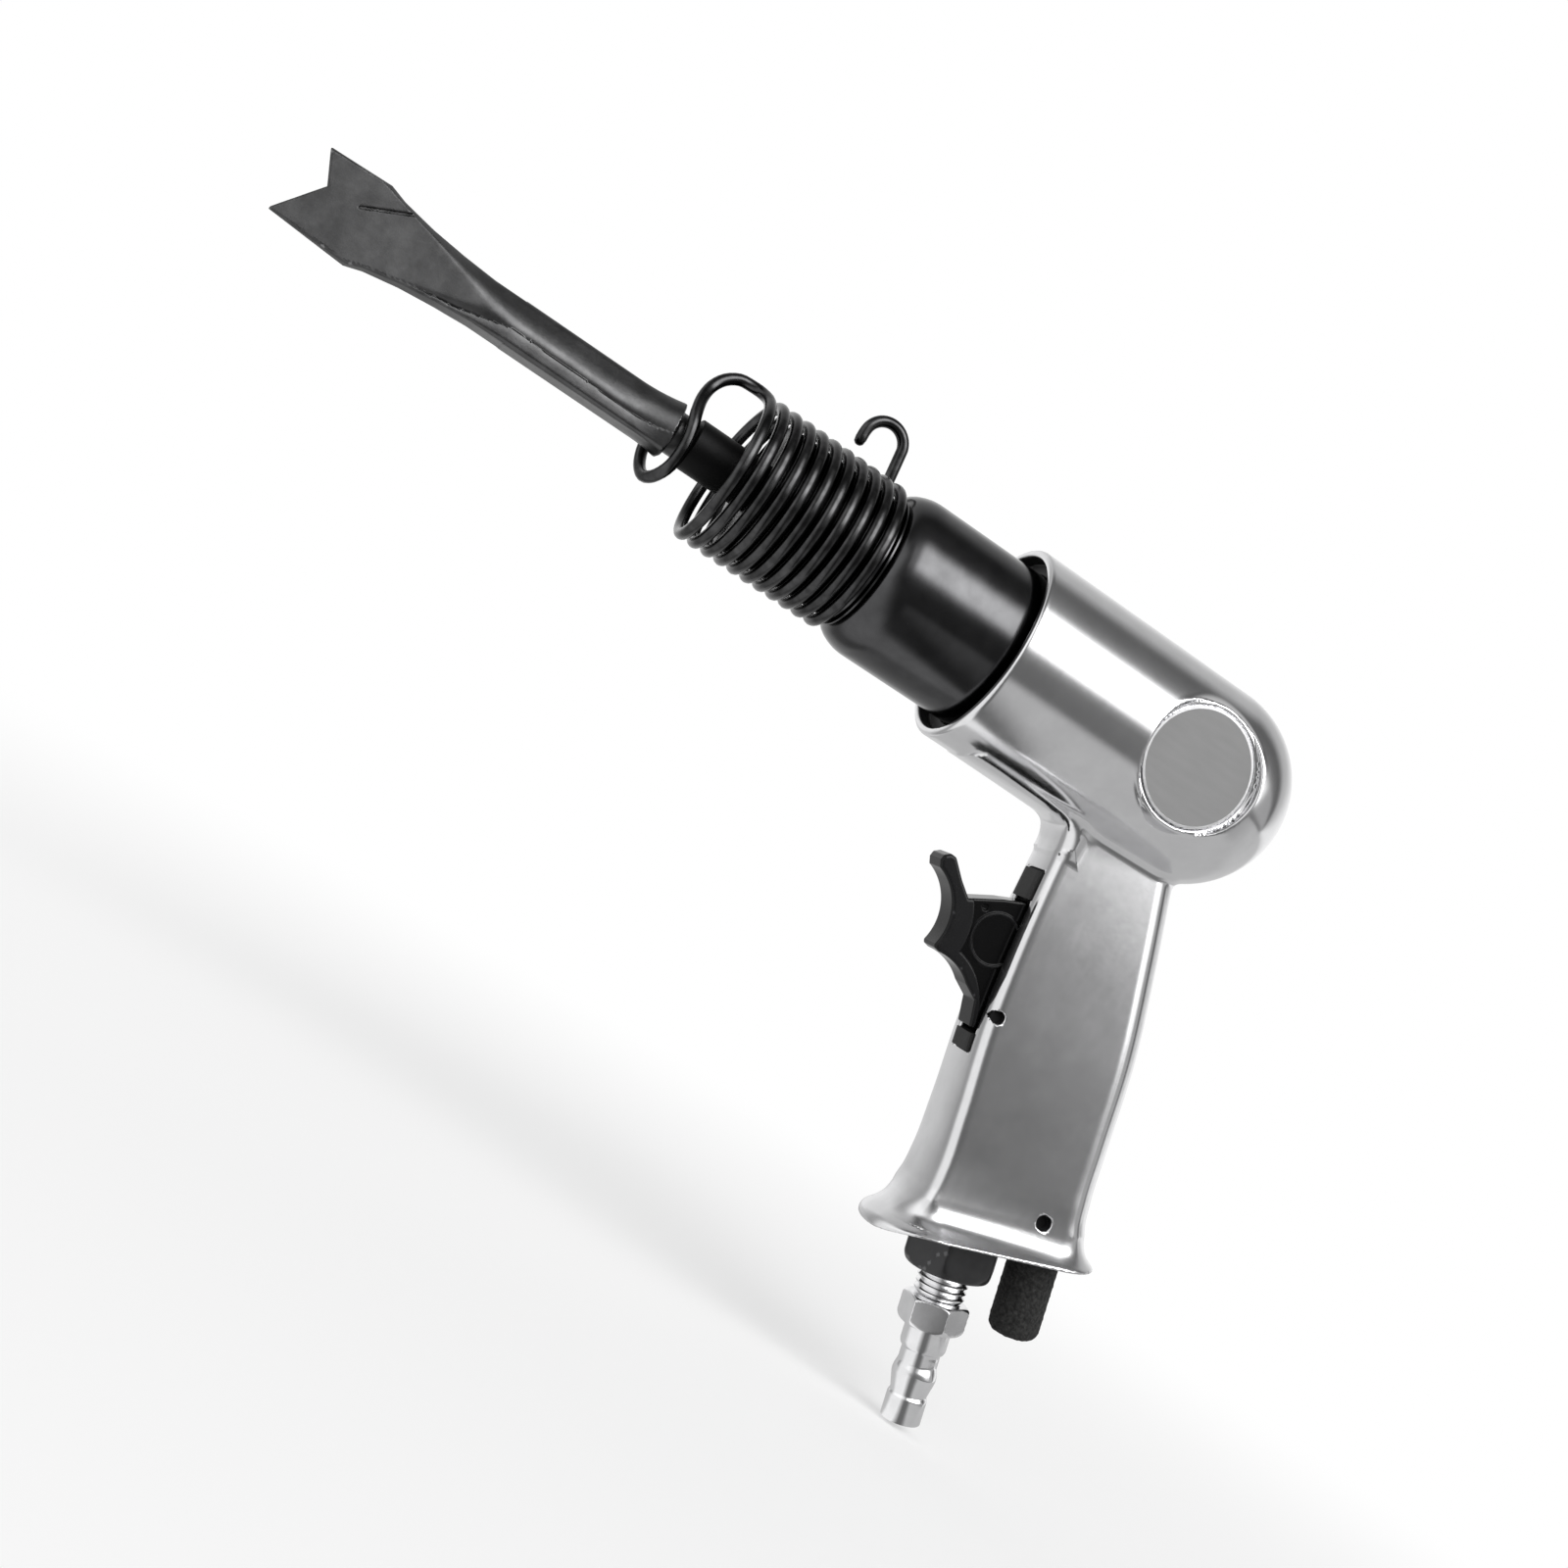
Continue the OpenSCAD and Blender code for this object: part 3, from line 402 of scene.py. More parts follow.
def forged_steel(f, hook_x):
    """Dark forging, with painted shade making it black behind the spring's hook, and duller on the blade."""
    m = Finish("forged steel", metallic=0.95)
    blotch = m.noise(190, 4, 0.6)
    scale_marks = m.noise(1400, 4, 0.65)
    # Painted shade: behind the hook, inside the spring, the shank is painted near black (a forging shade of
    # 0.14)
    behind = m.band(m.part(0), hook_x + 0.001, hook_x + 0.002)
    ahead = m.band(m.part(0), hook_x - 0.042, hook_x - 0.055)
    dark = m.shades(m.band(blotch, 0.35, 0.68), f.forging, 0.8, 1.25)
    dark = m.mixed(m.edges(0.54, 0.62) * 0.7, dark, shade(f.forging, 3.6))
    rough = 0.36 + 0.16 * ahead + 0.15 * behind + 0.14 * (scale_marks - 0.5)
    colour = m.mixed(behind, dark, shade(f.forging, 0.14))
    return m.done(colour, rough, scale_marks * 0.7 + blotch, 0.0001, 0.3)


def trigger_black(f):
    """Black, darker on the body than on the finger blade."""
    m = Finish("trigger black", specular_ior_level=0.2)
    cloud = m.noise(240)
    worn = m.edges(0.56, 0.66)
    half = sizes("trigger").width / 2
    blade = m.band(m.part(1).math("ABSOLUTE"), half - 0.0004, half - 0.0001)
    m.link("Metallic", 0.3 * worn)
    colour = m.mixed(worn * 0.5, m.shades(blade, f.trigger, 0.3, 1), shade(f.trigger, 12))
    return m.done(colour, 0.16 + 0.1 * blade + 0.1 * (cloud - 0.5), m.noise(2200), 0.00001, 0.12)


def black_oxide(f):
    m = Finish("black oxide", metallic=0.75)
    cloud = m.noise(260, 4)
    colour = m.mixed(m.edges(0.53, 0.62) * 0.5, m.shades(cloud, f.bushing, 0.8, 1.3), shade(f.bushing, 4))
    return m.done(colour, 0.26 + 0.14 * cloud, m.noise(2400), 0.00003, 0.3)


def porous_sinter(f):
    m = Finish("porous sinter", metallic=0.2)
    grains = add_node(m.tree, "TexVoronoi", {"Vector": m.place, "Scale": 1250}).out()
    pits = m.noise(1100, 4, 0.7)
    colour = m.shades(m.band(pits, 0.38, 0.66), f.muffler, 0.35, 2.0)
    return m.done(colour, 0.78 + 0.2 * pits, grains * 0.8 + pits, 0.0003, 0.9)


def plate_grey(f):
    """Grey with a bright turned rim."""
    m = Finish("plate grey")
    s = sizes("housing")
    grain = m.noise(700, 3, 0.5, (0.2, 1, 1))
    away = ((m.part(0) + s.disc_ahead) ** 2.0 + (m.part(2) - s.axis_height) ** 2.0) ** 0.5
    rim = m.band(away, s.recess_diameter * 0.47, s.recess_diameter * 0.474)
    m.link("Metallic", rim)
    colour = m.mixed(rim, m.shades(m.band(grain, 0.2, 0.8), f.plate, 0.94, 1.06), f.casting)
    return m.done(colour, 0.5 - 0.35 * rim + 0.12 * (grain - 0.5), grain, 0.00002, 0.3)


def plain_metal(name, colour, rough):
    m = Finish(name, metallic=1.0)
    turned_marks = m.noise(900, 3, 0.5, (1, 0.2, 0.2))
    return m.done(m.shades(turned_marks, colour, 0.85, 1.1), rough + 0.12 * (turned_marks - 0.5),
                  turned_marks, 0.00002, 0.3)


# Forms given by a distance, in millimetres, below zero inside the piece

def joined(a, b, k):
    h = np.clip(0.5 + 0.5 * (b - a) / k, 0, 1)
    return b + (a - b) * h - k * h * (1 - h)


def common(a, b, k):
    return -joined(-a, -b, k)


def carved(a, cut, k):
    return -joined(-a, cut, k)


def leaned(s, x, z):
    c, n = math.cos(s.rake), math.sin(s.rake)
    return x * c + z * n, -x * n + z * c


def upright(s, u, y, w):
    """Row place, in millimetres, of a place measured across and along the grip."""
    c, n = math.cos(s.rake), math.sin(s.rake)
    return np.array([u * c - w * n, y, u * n + w * c])


def along(value, stations, readings):
    """A smooth curve through readings taken at stations."""
    x, y = np.array(stations, float), np.array(readings, float)
    slope = np.gradient(y, x)
    i = np.clip(np.searchsorted(x, value) - 1, 0, len(x) - 2)
    h = x[i + 1] - x[i]
    t = np.clip((value - x[i]) / h, 0, 1)
    return ((2 * t ** 3 - 3 * t ** 2 + 1) * y[i] + (t ** 3 - 2 * t ** 2 + t) * h * slope[i]
            + (3 * t ** 2 - 2 * t ** 3) * y[i + 1] + (t ** 3 - t ** 2) * h * slope[i + 1])


def capped(radius, position, low, high):
    return np.maximum(radius, np.maximum(low - position, position - high))


def hexagon(a, b, flats, turn=0.0):
    """Distance from a hexagon's sides."""
    c, n = math.cos(turn), math.sin(turn)
    p, q = a * c + b * n, -a * n + b * c
    sides = [np.abs(p * math.cos(k * math.pi / 3) + q * math.sin(k * math.pi / 3)) for k in range(3)]
    return np.maximum(np.maximum(sides[0], sides[1]), sides[2]) - flats / 2


def polygon(a, b, corners):
    """Distance from a flat outline."""
    a, b = np.broadcast_arrays(a, b)
    best = np.full(a.shape, 1e9)
    inside = np.zeros(a.shape, bool)
    for (ax, ay), (bx, by) in zip(corners, corners[1:] + corners[:1]):
        dx, dy = bx - ax, by - ay
        t = np.clip(((a - ax) * dx + (b - ay) * dy) / (dx * dx + dy * dy), 0, 1)
        best = np.minimum(best, np.hypot(a - ax - t * dx, b - ay - t * dy))
        crosses = (ay > b) != (by > b)
        if dy:
            inside ^= crosses & (a < ax + (b - ay) * dx / dy)
    return np.where(inside, -best, best)


SLOPE_REACH = 0.04
SKIN_ROUNDS = 4


def skin_of(form, low, high, step):
    """Points, faces and normals of the skin where a form's distance is zero: one point in each cell of a grid
    that the skin crosses, then moved onto the skin."""
    axes = [np.arange(a - 1.5 * step, b + 2.5 * step, step) for a, b in zip(low, high)]
    grid = np.meshgrid(*axes, indexing="ij", sparse=True)
    values = np.broadcast_to(form(*grid), [len(a) for a in axes])
    inside = values < 0
    counts = sum(inside[i:i - 1 or None, j:j - 1 or None, k:k - 1 or None].astype(np.int8)
                 for i in (0, 1) for j in (0, 1) for k in (0, 1))
    cells = np.argwhere((counts > 0) & (counts < 8))
    number = np.full(counts.shape, -1, np.int64)
    number[tuple(cells.T)] = np.arange(len(cells))
    total = np.zeros((len(cells), 3))
    hits = np.zeros(len(cells))
    for a, axis in ((a, axis) for a in np.ndindex(2, 2, 2) for axis in range(3) if not a[axis]):
        b = np.array(a)
        b[axis] = 1
        va, vb = (values[tuple((cells + corner).T)] for corner in (a, b))
        cut = (va < 0) != (vb < 0)
        t = np.where(cut, va / np.where(cut, va - vb, 1), 0)
        place = np.array(a, float) + t[:, None] * (b - a)
        total += np.where(cut[:, None], place, 0)
        hits += cut
    start = np.array([a[0] for a in axes])
    points = start + (cells + total / hits[:, None]) * step
    faces = []
    for axis in range(3):
        near = [slice(None)] * 3
        far = [slice(None)] * 3
        near[axis], far[axis] = slice(None, -1), slice(1, None)
        here, there = inside[tuple(near)], inside[tuple(far)]
        edges = np.argwhere(here != there)
        outward = here[tuple(edges.T)]
        p, q = (axis + 1) % 3, (axis + 2) % 3
        ring = []
        for dp, dq in ((-1, -1), (0, -1), (0, 0), (-1, 0)):
            cell = edges.copy()
            cell[:, p] += dp
            cell[:, q] += dq
            ring.append(number[tuple(cell.T)])
        quad = np.stack(ring, 1)
        faces.append(np.where(outward[:, None], quad, quad[:, ::-1]))

    def slope(at):
        out = np.empty_like(at)
        for axis, shift in enumerate(np.eye(3) * SLOPE_REACH):
            out[:, axis] = (form(*(at + shift).T) - form(*(at - shift).T)) / (2 * SLOPE_REACH)
        return out

    for _ in range(SKIN_ROUNDS):
        rise = slope(points)
        size = np.maximum((rise ** 2).sum(1), 0.05)
        move = -(form(*points.T) / size)[:, None] * rise
        reach = np.linalg.norm(move, axis=1, keepdims=True)
        points = points + move * np.minimum(1, 0.6 * step / np.maximum(reach, 1e-9))
    rise = slope(points)
    rise /= np.maximum(np.linalg.norm(rise, axis=1, keepdims=True), 1e-9)
    return points, np.concatenate(faces), rise


def make_object(name, points, faces, material, normals=None):
    """An object from points in millimetres."""
    mesh = bpy.data.meshes.new(name)
    mesh.from_pydata((np.asarray(points) / 1000).tolist(), [], [list(map(int, f)) for f in faces])
    mesh.validate()
    mesh.polygons.foreach_set("use_smooth", [True] * len(mesh.polygons))
    if normals is not None and len(mesh.vertices) == len(normals):
        mesh.normals_split_custom_set_from_vertices(normals.tolist())
    mesh.materials.append(material)
    obj = bpy.data.objects.new(name, mesh)
    bpy.context.scene.collection.objects.link(obj)
    return obj


def finished(obj, body, slot, *nodes):
    """Lets a piece ride on its body and stand for its nodes."""
    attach(obj, body)
    if nodes:
        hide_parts(*nodes)


def cast(name, form, node, step, material, body, slot, stands_for_it=True, grown=((0, 0, 0), 0)):
    """The skin of a form in the space of a node."""
    low, high = (np.array(c) * 1000 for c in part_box(node))
    points, faces, normals = skin_of(form, low - grown[0], high + grown[1], step)
    obj = make_object(name, points, faces, material, normals)
    finished(obj, body, slot, *([node] if stands_for_it else []))


def softened(outline, radius, steps):
    """An outline with each corner between its two ends rounded."""
    corners = [np.array(c, float) for c in outline]
    out = corners[:1]
    for before, c, after in zip(corners, corners[1:], corners[2:]):
        a, b = before - c, after - c
        r = min(radius, 0.45 * np.linalg.norm(a), 0.45 * np.linalg.norm(b))
        a, b = a / np.linalg.norm(a) * r, b / np.linalg.norm(b) * r
        out += [c + a * (1 - t) ** 2 + b * t ** 2 for t in np.arange(steps + 1) / steps]
    return out + corners[-1:]


def turned(name, outline, place, steps, material):
    """A piece turned round an axis from a closed outline of places along it and radii."""
    outline = np.array(outline)
    angles = np.arange(steps) * 2 * math.pi / steps
    points = np.concatenate([place(outline[:, 0], outline[:, 1] * math.cos(a), outline[:, 1] * math.sin(a))
                             for a in angles])
    n = len(outline)
    faces = [(i * n + k, i * n + (k + 1) % n, (i + 1) % steps * n + (k + 1) % n, (i + 1) % steps * n + k)
             for i in range(steps) for k in range(n)]
    obj = make_object(name, points, faces, material)
    weld(obj, 35)
    return obj


def weld(obj, sharp):
    """Joins points in one place, turns the faces outward and keeps corners over an angle sharp."""
    bm = bmesh.new()
    bm.from_mesh(obj.data)
    bmesh.ops.remove_doubles(bm, verts=bm.verts, dist=1e-6)
    bmesh.ops.recalc_face_normals(bm, faces=bm.faces)
    bm.to_mesh(obj.data)
    bm.free()
    obj.data.set_sharp_from_angle(angle=math.radians(sharp))


def smooth_route(points, parts):
    """A route through points, eased between them."""
    p = [2 * points[0] - points[1], *points, 2 * points[-1] - points[-2]]
    out = []
    for i in range(1, len(p) - 2):
        a, b, c, d = p[i - 1], p[i], p[i + 1], p[i + 2]
        for k in range(parts):
            t = k / parts
            out.append(0.5 * (2 * b + (c - a) * t + (2 * a - 5 * b + 4 * c - d) * t ** 2
                              + (3 * b - a - 3 * c + d) * t ** 3))
    return np.array(out + [points[-1]])


def wire_piece(name, route, radius, sides, material):
    """A wire with rounded ends along a route."""
    t = np.gradient(route, axis=0)
    t /= np.linalg.norm(t, axis=1, keepdims=True)
    normal = np.cross(t[0], (0.3, 0.5, 0.8))
    rows = []
    for p, d in zip(route, t):
        normal = normal - (normal @ d) * d
        normal /= np.linalg.norm(normal)
        rows.append((p, d, normal, 1.0))
    ends = [(1 - math.cos(a), math.sin(a)) for a in (0.02, 0.5, 1.0)]
    (p, d, n, _), (q, e, m, _) = rows[0], rows[-1]
    first = [(p + d * radius * inward, d, n, part) for inward, part in ends]
    last = [(q - e * radius * inward, e, m, part) for inward, part in reversed(ends)]
    inner = [row for row in rows if min(np.linalg.norm(row[0] - p), np.linalg.norm(row[0] - q)) > radius]
    angles = [2 * math.pi * k / sides for k in range(sides)]
    points = [p + radius * part * (math.cos(a) * n + math.sin(a) * np.cross(d, n))
              for p, d, n, part in first + inner + last for a in angles]
    count = len(points) // sides
    faces = [(i * sides + k, (i + 1) * sides + k, (i + 1) * sides + (k + 1) % sides,
              i * sides + (k + 1) % sides) for i in range(count - 1) for k in range(sides)]
    faces.append(tuple(range(sides)))
    faces.append(tuple((count - 1) * sides + k for k in reversed(range(sides))))
    obj = make_object(name, np.array(points), faces, material)
    weld(obj, 50)
    return obj


# The castings and the other pieces. Lengths are in millimetres

SLOT = {"half_width": 3.9, "back_u": -9.5, "low_w": -3.3, "high_w": 37.1}
PLATE_POCKET = {"ahead": 2.6, "half_length": 8.8, "half_width": 6.2, "depth": 1.6}
CHAMBER_RADIUS = 18.15
PIN_HOLE_RADIUS, MUFFLER_PIN_RADIUS = 1.35, 1.65
MUFFLER_PIN_U, MUFFLER_PIN_RISE = 6.2, 8.3
THROTTLE_W, THROTTLE_BORE_RADIUS = 20.2, 4.05
MUFFLER_SPIGOT_U = 11.9
THROTTLE_SPRING = {"first": 0.55, "last": 6.9, "radius": 2.4, "wire": 0.55, "curls": 5}
# Places behind the barrel's shoulder, with how far each lies under its full radius
SHOULDER = ((-0.15, 3.3), (0.3, 2.45), (0.9, 1.8), (1.9, 1.15), (3.2, 0.6), (4.6, 0.2), (6, 0.02), (7.5, 0),
            (20, 0))
# Radius, depth into the foot, and whether it lies on the muffler's spigot, of each bore in the foot
FOOT_BORES = ((7.55, 12, False), (9.2, 1.7, False), (4.25, 12, True))
SPIGOT_RADIUS, SPIGOT_TOP, SPIGOT_GROOVE_RADIUS, SPIGOT_GROOVE_HALF = 4.2, 11.8, 3.6, 1.8
BUSHING_NECK_RADIUS, BUSHING_NECK_TOP, BUSHING_BORE_RADIUS = 7.5, 11.6, 4.6
THREAD_DEPTH, BUSHING_THREAD_DEPTH, BUSHING_THREAD_TOP = 0.62, 0.45, -1.4
# How much narrower the grip gets on each side for each mm up, and the heights between which it does
DRAFT, DRAFT_TOP, DRAFT_LOW = 0.034, 46, -32
# Radii of the grip's corners: in front, what the back has more than that, and at the foot
FRONT_CORNER, CORNER_GROWTH, FOOT_CORNER = 3.2, 5.4, 12.2
TOE_START_U, TOE_LENGTH, TOE_DROP = -17.5, 10, 2.4
GROOVE_HALF_LENGTH = 2.35
COLLAR_END_X = -118.2
NECK_LENGTH, NECK_START, NECK_SINK = 12, 2.5, 2.9
CREASE = {"from_root": 29.9, "half_length": 4.3, "height": 3.75, "slope": 0.49, "half_width": 0.3,
          "depth": 0.45}
TRIGGER_OUTLINE = [(-2.2, -4.2), (-3.2, -3.8), (-3.8, 1.6), (-8, 5.6), (-16, 10), (-20.5, 27.8), (-20, 29),
                   (-18.6, 29.6), (-17.3, 29.2), (-14.5, 24.9), (-12, 21.8), (-4, 23.6), (1.3, 24.3), (4.95, 2),
                   (3.3, -3.2), (2.2, -4.2)]
# Centres round the trigger's pivot, and the radii of the two seams between blade and body
UPPER_SCOOP_AT, LOWER_SCOOP_AT, UPPER_SEAM_AT = (-26.3, 16.4), (-16.5, -2.4), (-25.2, 15.8)
UPPER_SEAM_RADIUS, LOWER_SEAM_RADIUS = 15.6, 14.4
RING_MARK_AT, RING_MARK_RADIUS, RING_MARK_HALF_WIDTH, RING_MARK_RISE = (-3.4, 14.9), 5.6, 0.28, 0.12
DOT_AT, DOT_RADIUS, DOT_DEPTH = (-7.7, 21), 0.7, 0.5
TRIGGER_HOLE_RADIUS = 1.38
PAPER_GAP = 0.5


def hook_place(spring):
    """Where the front hook lies along the barrel's axis, in the unit of the sizes given."""
    return spring.back_x - (spring.curls - 0.25) * spring.pitch + spring.lean - spring.reach


def housing_form(s, t, i):
    axis_h, radius = s.axis_height, s.diameter / 2
    heights = [*(np.array([-3, 0.3, 2.2, 5.2, 9, 14]) - s.foot_drop), -16, 4, 24, 50.5]
    fronts = np.array([-9.2, -8.3, -5.6, -3.2, -1.6, -0.7, -0.1, 0.3, 2.4, 6.6]) - s.grip_front
    backs = np.array([5.0, 4.4, 2.4, 0.6, -0.6, -0.9, -0.4, 0.5, -0.6, -3]) + s.grip_back
    rises = [-3, 0.3, 1.6, 3.2, 4.4, 5.6, 8, 13, 50, 90]
    widening = np.array([1, 0.95, 0.58, 0.24, 0.11, 0.05, 0.02, 0.005, 0, 0])
    flare = widening * (s.foot_half - s.half_front - 0.9)
    flare_back = widening * (s.foot_half - s.half_back - 1.8)
    corner_x = -s.grip_front - 3.4
    corner_z = axis_h - radius + 0.4
    fillet = s.web_fillet

    def form(x, y, z):
        u, w = leaned(s, x, z)
        h = z - axis_h
        ring = np.hypot(y, h)
        side = np.abs(y)
        motor = np.hypot(ring, np.maximum(x - s.dome_x, 0)) - radius
        front, back = along(w, heights, fronts) + 0.5 * np.clip((w + 40) / 8, 0, 1), along(w, heights, backs)
        part = np.clip((u - front) / (back - front), 0, 1)
        rise = w + s.foot_drop
        draft = -DRAFT * common(joined(w, DRAFT_TOP, 4), DRAFT_LOW, 6)
        half = (s.half_front + draft + along(rise, rises, flare)) * (1 - part) + (
            s.half_back + 2 * draft + along(rise, rises, flare_back)) * part
        near_foot = np.clip((-s.foot_drop + 7 - w) / 7, 0, 1)
        corner = FRONT_CORNER + CORNER_GROWTH * np.clip(part * 1.7 - 0.55, 0, 1)
        corner = corner * (1 - near_foot) + FOOT_CORNER * near_foot
        corner = np.minimum(corner, half - 0.3)
        arch = s.half_front + 3.2 + 40 * np.clip((w + 40) / 8, 0, 1) + along(rise, rises, flare)
        across = np.abs(u - (front + back) / 2) - ((back - front) / 2 - corner)
        aside = side - (half - corner)
        grip = np.hypot(np.maximum(across, 0), np.maximum(aside, 0)) + np.minimum(
            np.maximum(across, aside), 0) - corner
        grip = common(grip, np.hypot(np.minimum(u - front - arch, 0), y) - arch, 1.0)
        toe = np.clip((TOE_START_U - u) / TOE_LENGTH, 0, 1)
        sole = -s.foot_drop - TOE_DROP * toe * toe
        grip = common(common(grip, sole - w, 1.1), w - 56, 1)
        centre_x = corner_x - fillet
        centre_z = corner_z - fillet
        ahead = np.maximum(centre_x - x, 0)
        under = np.where(x < centre_x, corner_z + 0.035 * ahead - z, np.maximum(
            centre_z - z, fillet - np.hypot(x - centre_x, z - centre_z)))
        web = common(np.maximum(under, np.maximum(z - corner_z - 8, np.maximum(
            centre_x - 22 - x, x - corner_x - 2.5))), side - s.web_half, 3.4)
        body = joined(joined(motor, web, 2.2), grip, 2.0)
        disc_x = x + s.disc_ahead
        round_ = np.hypot(disc_x, h)
        face = s.boss_width / 2
        boss = common(round_ - s.recess_diameter / 2 - 1.1, side - face, 0.6)
        body = joined(body, boss, 1.6)
        body = carved(body, np.maximum(round_ - s.recess_diameter / 2 - 0.9, face - side), 0.8)
        body = carved(body, np.maximum(round_ - s.recess_diameter / 2, face - 0.8 - side), 0.6)
        body = common(body, s.front_x - x, 1.0)
        body = carved(body, np.maximum(ring - s.mouth_diameter / 2, x - s.front_x - s.mouth_depth), 0.5)
        body = carved(body, np.maximum(ring - CHAMBER_RADIUS, x - s.chamber_end), 0.4)
        pocket = np.maximum(
            np.maximum(np.abs(x - s.dome_x + PLATE_POCKET["ahead"]) - PLATE_POCKET["half_length"],
                       side - PLATE_POCKET["half_width"]), axis_h + radius - PLATE_POCKET["depth"] - z)
        body = carved(body, pocket, 0.5)
        slot = np.maximum(np.maximum(side - SLOT["half_width"], u - SLOT["back_u"]),
                          np.maximum(SLOT["low_w"] - w, w - SLOT["high_w"]))
        body = carved(body, slot, 0.7)
        for hole_u, hole_w, hole_radius in ((t.pivot_u, t.pivot_w, PIN_HOLE_RADIUS), (
                MUFFLER_PIN_U, MUFFLER_PIN_RISE - s.foot_drop, MUFFLER_PIN_RADIUS)):
            body = carved(body, np.hypot(u - hole_u, w - hole_w) - hole_radius, 0.3)
        body = carved(body, capped(np.hypot(y, w - THROTTLE_W) - THROTTLE_BORE_RADIUS, u, -12, 7.5), 0.2)
        for bore, depth, for_muffler in FOOT_BORES:
            from_axis = np.hypot(u - MUFFLER_SPIGOT_U if for_muffler else u + i.ahead, y)
            body = carved(body, capped(from_axis - bore, w, -60, depth - s.foot_drop), 0.2)
        return body

    return form


def spring_route(s, axis_h):
    """The wire's route: the hook round the chisel, the curls, and the thumb hook."""
    r = s.radius
    hook_x = hook_place(s)
    front = hook_x + s.reach
    k = s.hook_radius

    def at(x, turn, radius):
        a = math.radians(turn)
        return np.array([x, -radius * math.sin(a), axis_h + radius * math.cos(a)])

    hook = [(-3.9, 273, k + 2), (-3.9, 256, k + 2.2), (-3.7, 233, k + 2.6), (-3, 209, k + 3.3),
            (-2, 187, k + 4), (-0.9, 166, k + 3.9), (0.2, 146, k + 2.9), (0.7, 125, k + 1.4),
            (0.6, 98, k + 0.3), (0.1, 70, k + 0.2), (-0.5, 43, k + 0.8), (-0.6, 18, k + 2.6),
            (0.1, 6, r - 3.9), (1.7, 3, r - 1.3), (4.2, 2, r + 0.4), (6.9, 3, r + 0.7)]
    points = [at(hook_x + dx, turn, radius) for dx, turn, radius in hook]
    points += [at(front - 1.2, 8, r + 0.5), at(front + 0.1, 22, r)]
    for step in range(2, s.curls * 16 - 3):
        turn = 22.5 * step
        points.append(at(front + s.pitch * turn / 360 - s.lean * (1 - math.cos(math.radians(turn))), turn, r))
    x = s.back_x - 1.2
    y = 0.6 * r
    bend = s.thumb_width / 2
    top = axis_h + s.thumb_height - bend
    points += [at(x + 2, -45, r + 0.6), np.array([x + 1.5, y + 0.6, axis_h + r - 1]),
               np.array([x + 0.8, y + 0.1, axis_h + r + 2.5])]
    for a in range(0, 181, 20):
        a = math.radians(a)
        points.append(np.array([x - bend + bend * math.cos(a), y, top + bend * math.sin(a)]))
    end = axis_h + r + s.wire + 3
    points += [np.array([x - s.thumb_width, y, top + part * (end - top)]) for part in (0.5, 1)]
    return smooth_route(points, 3)


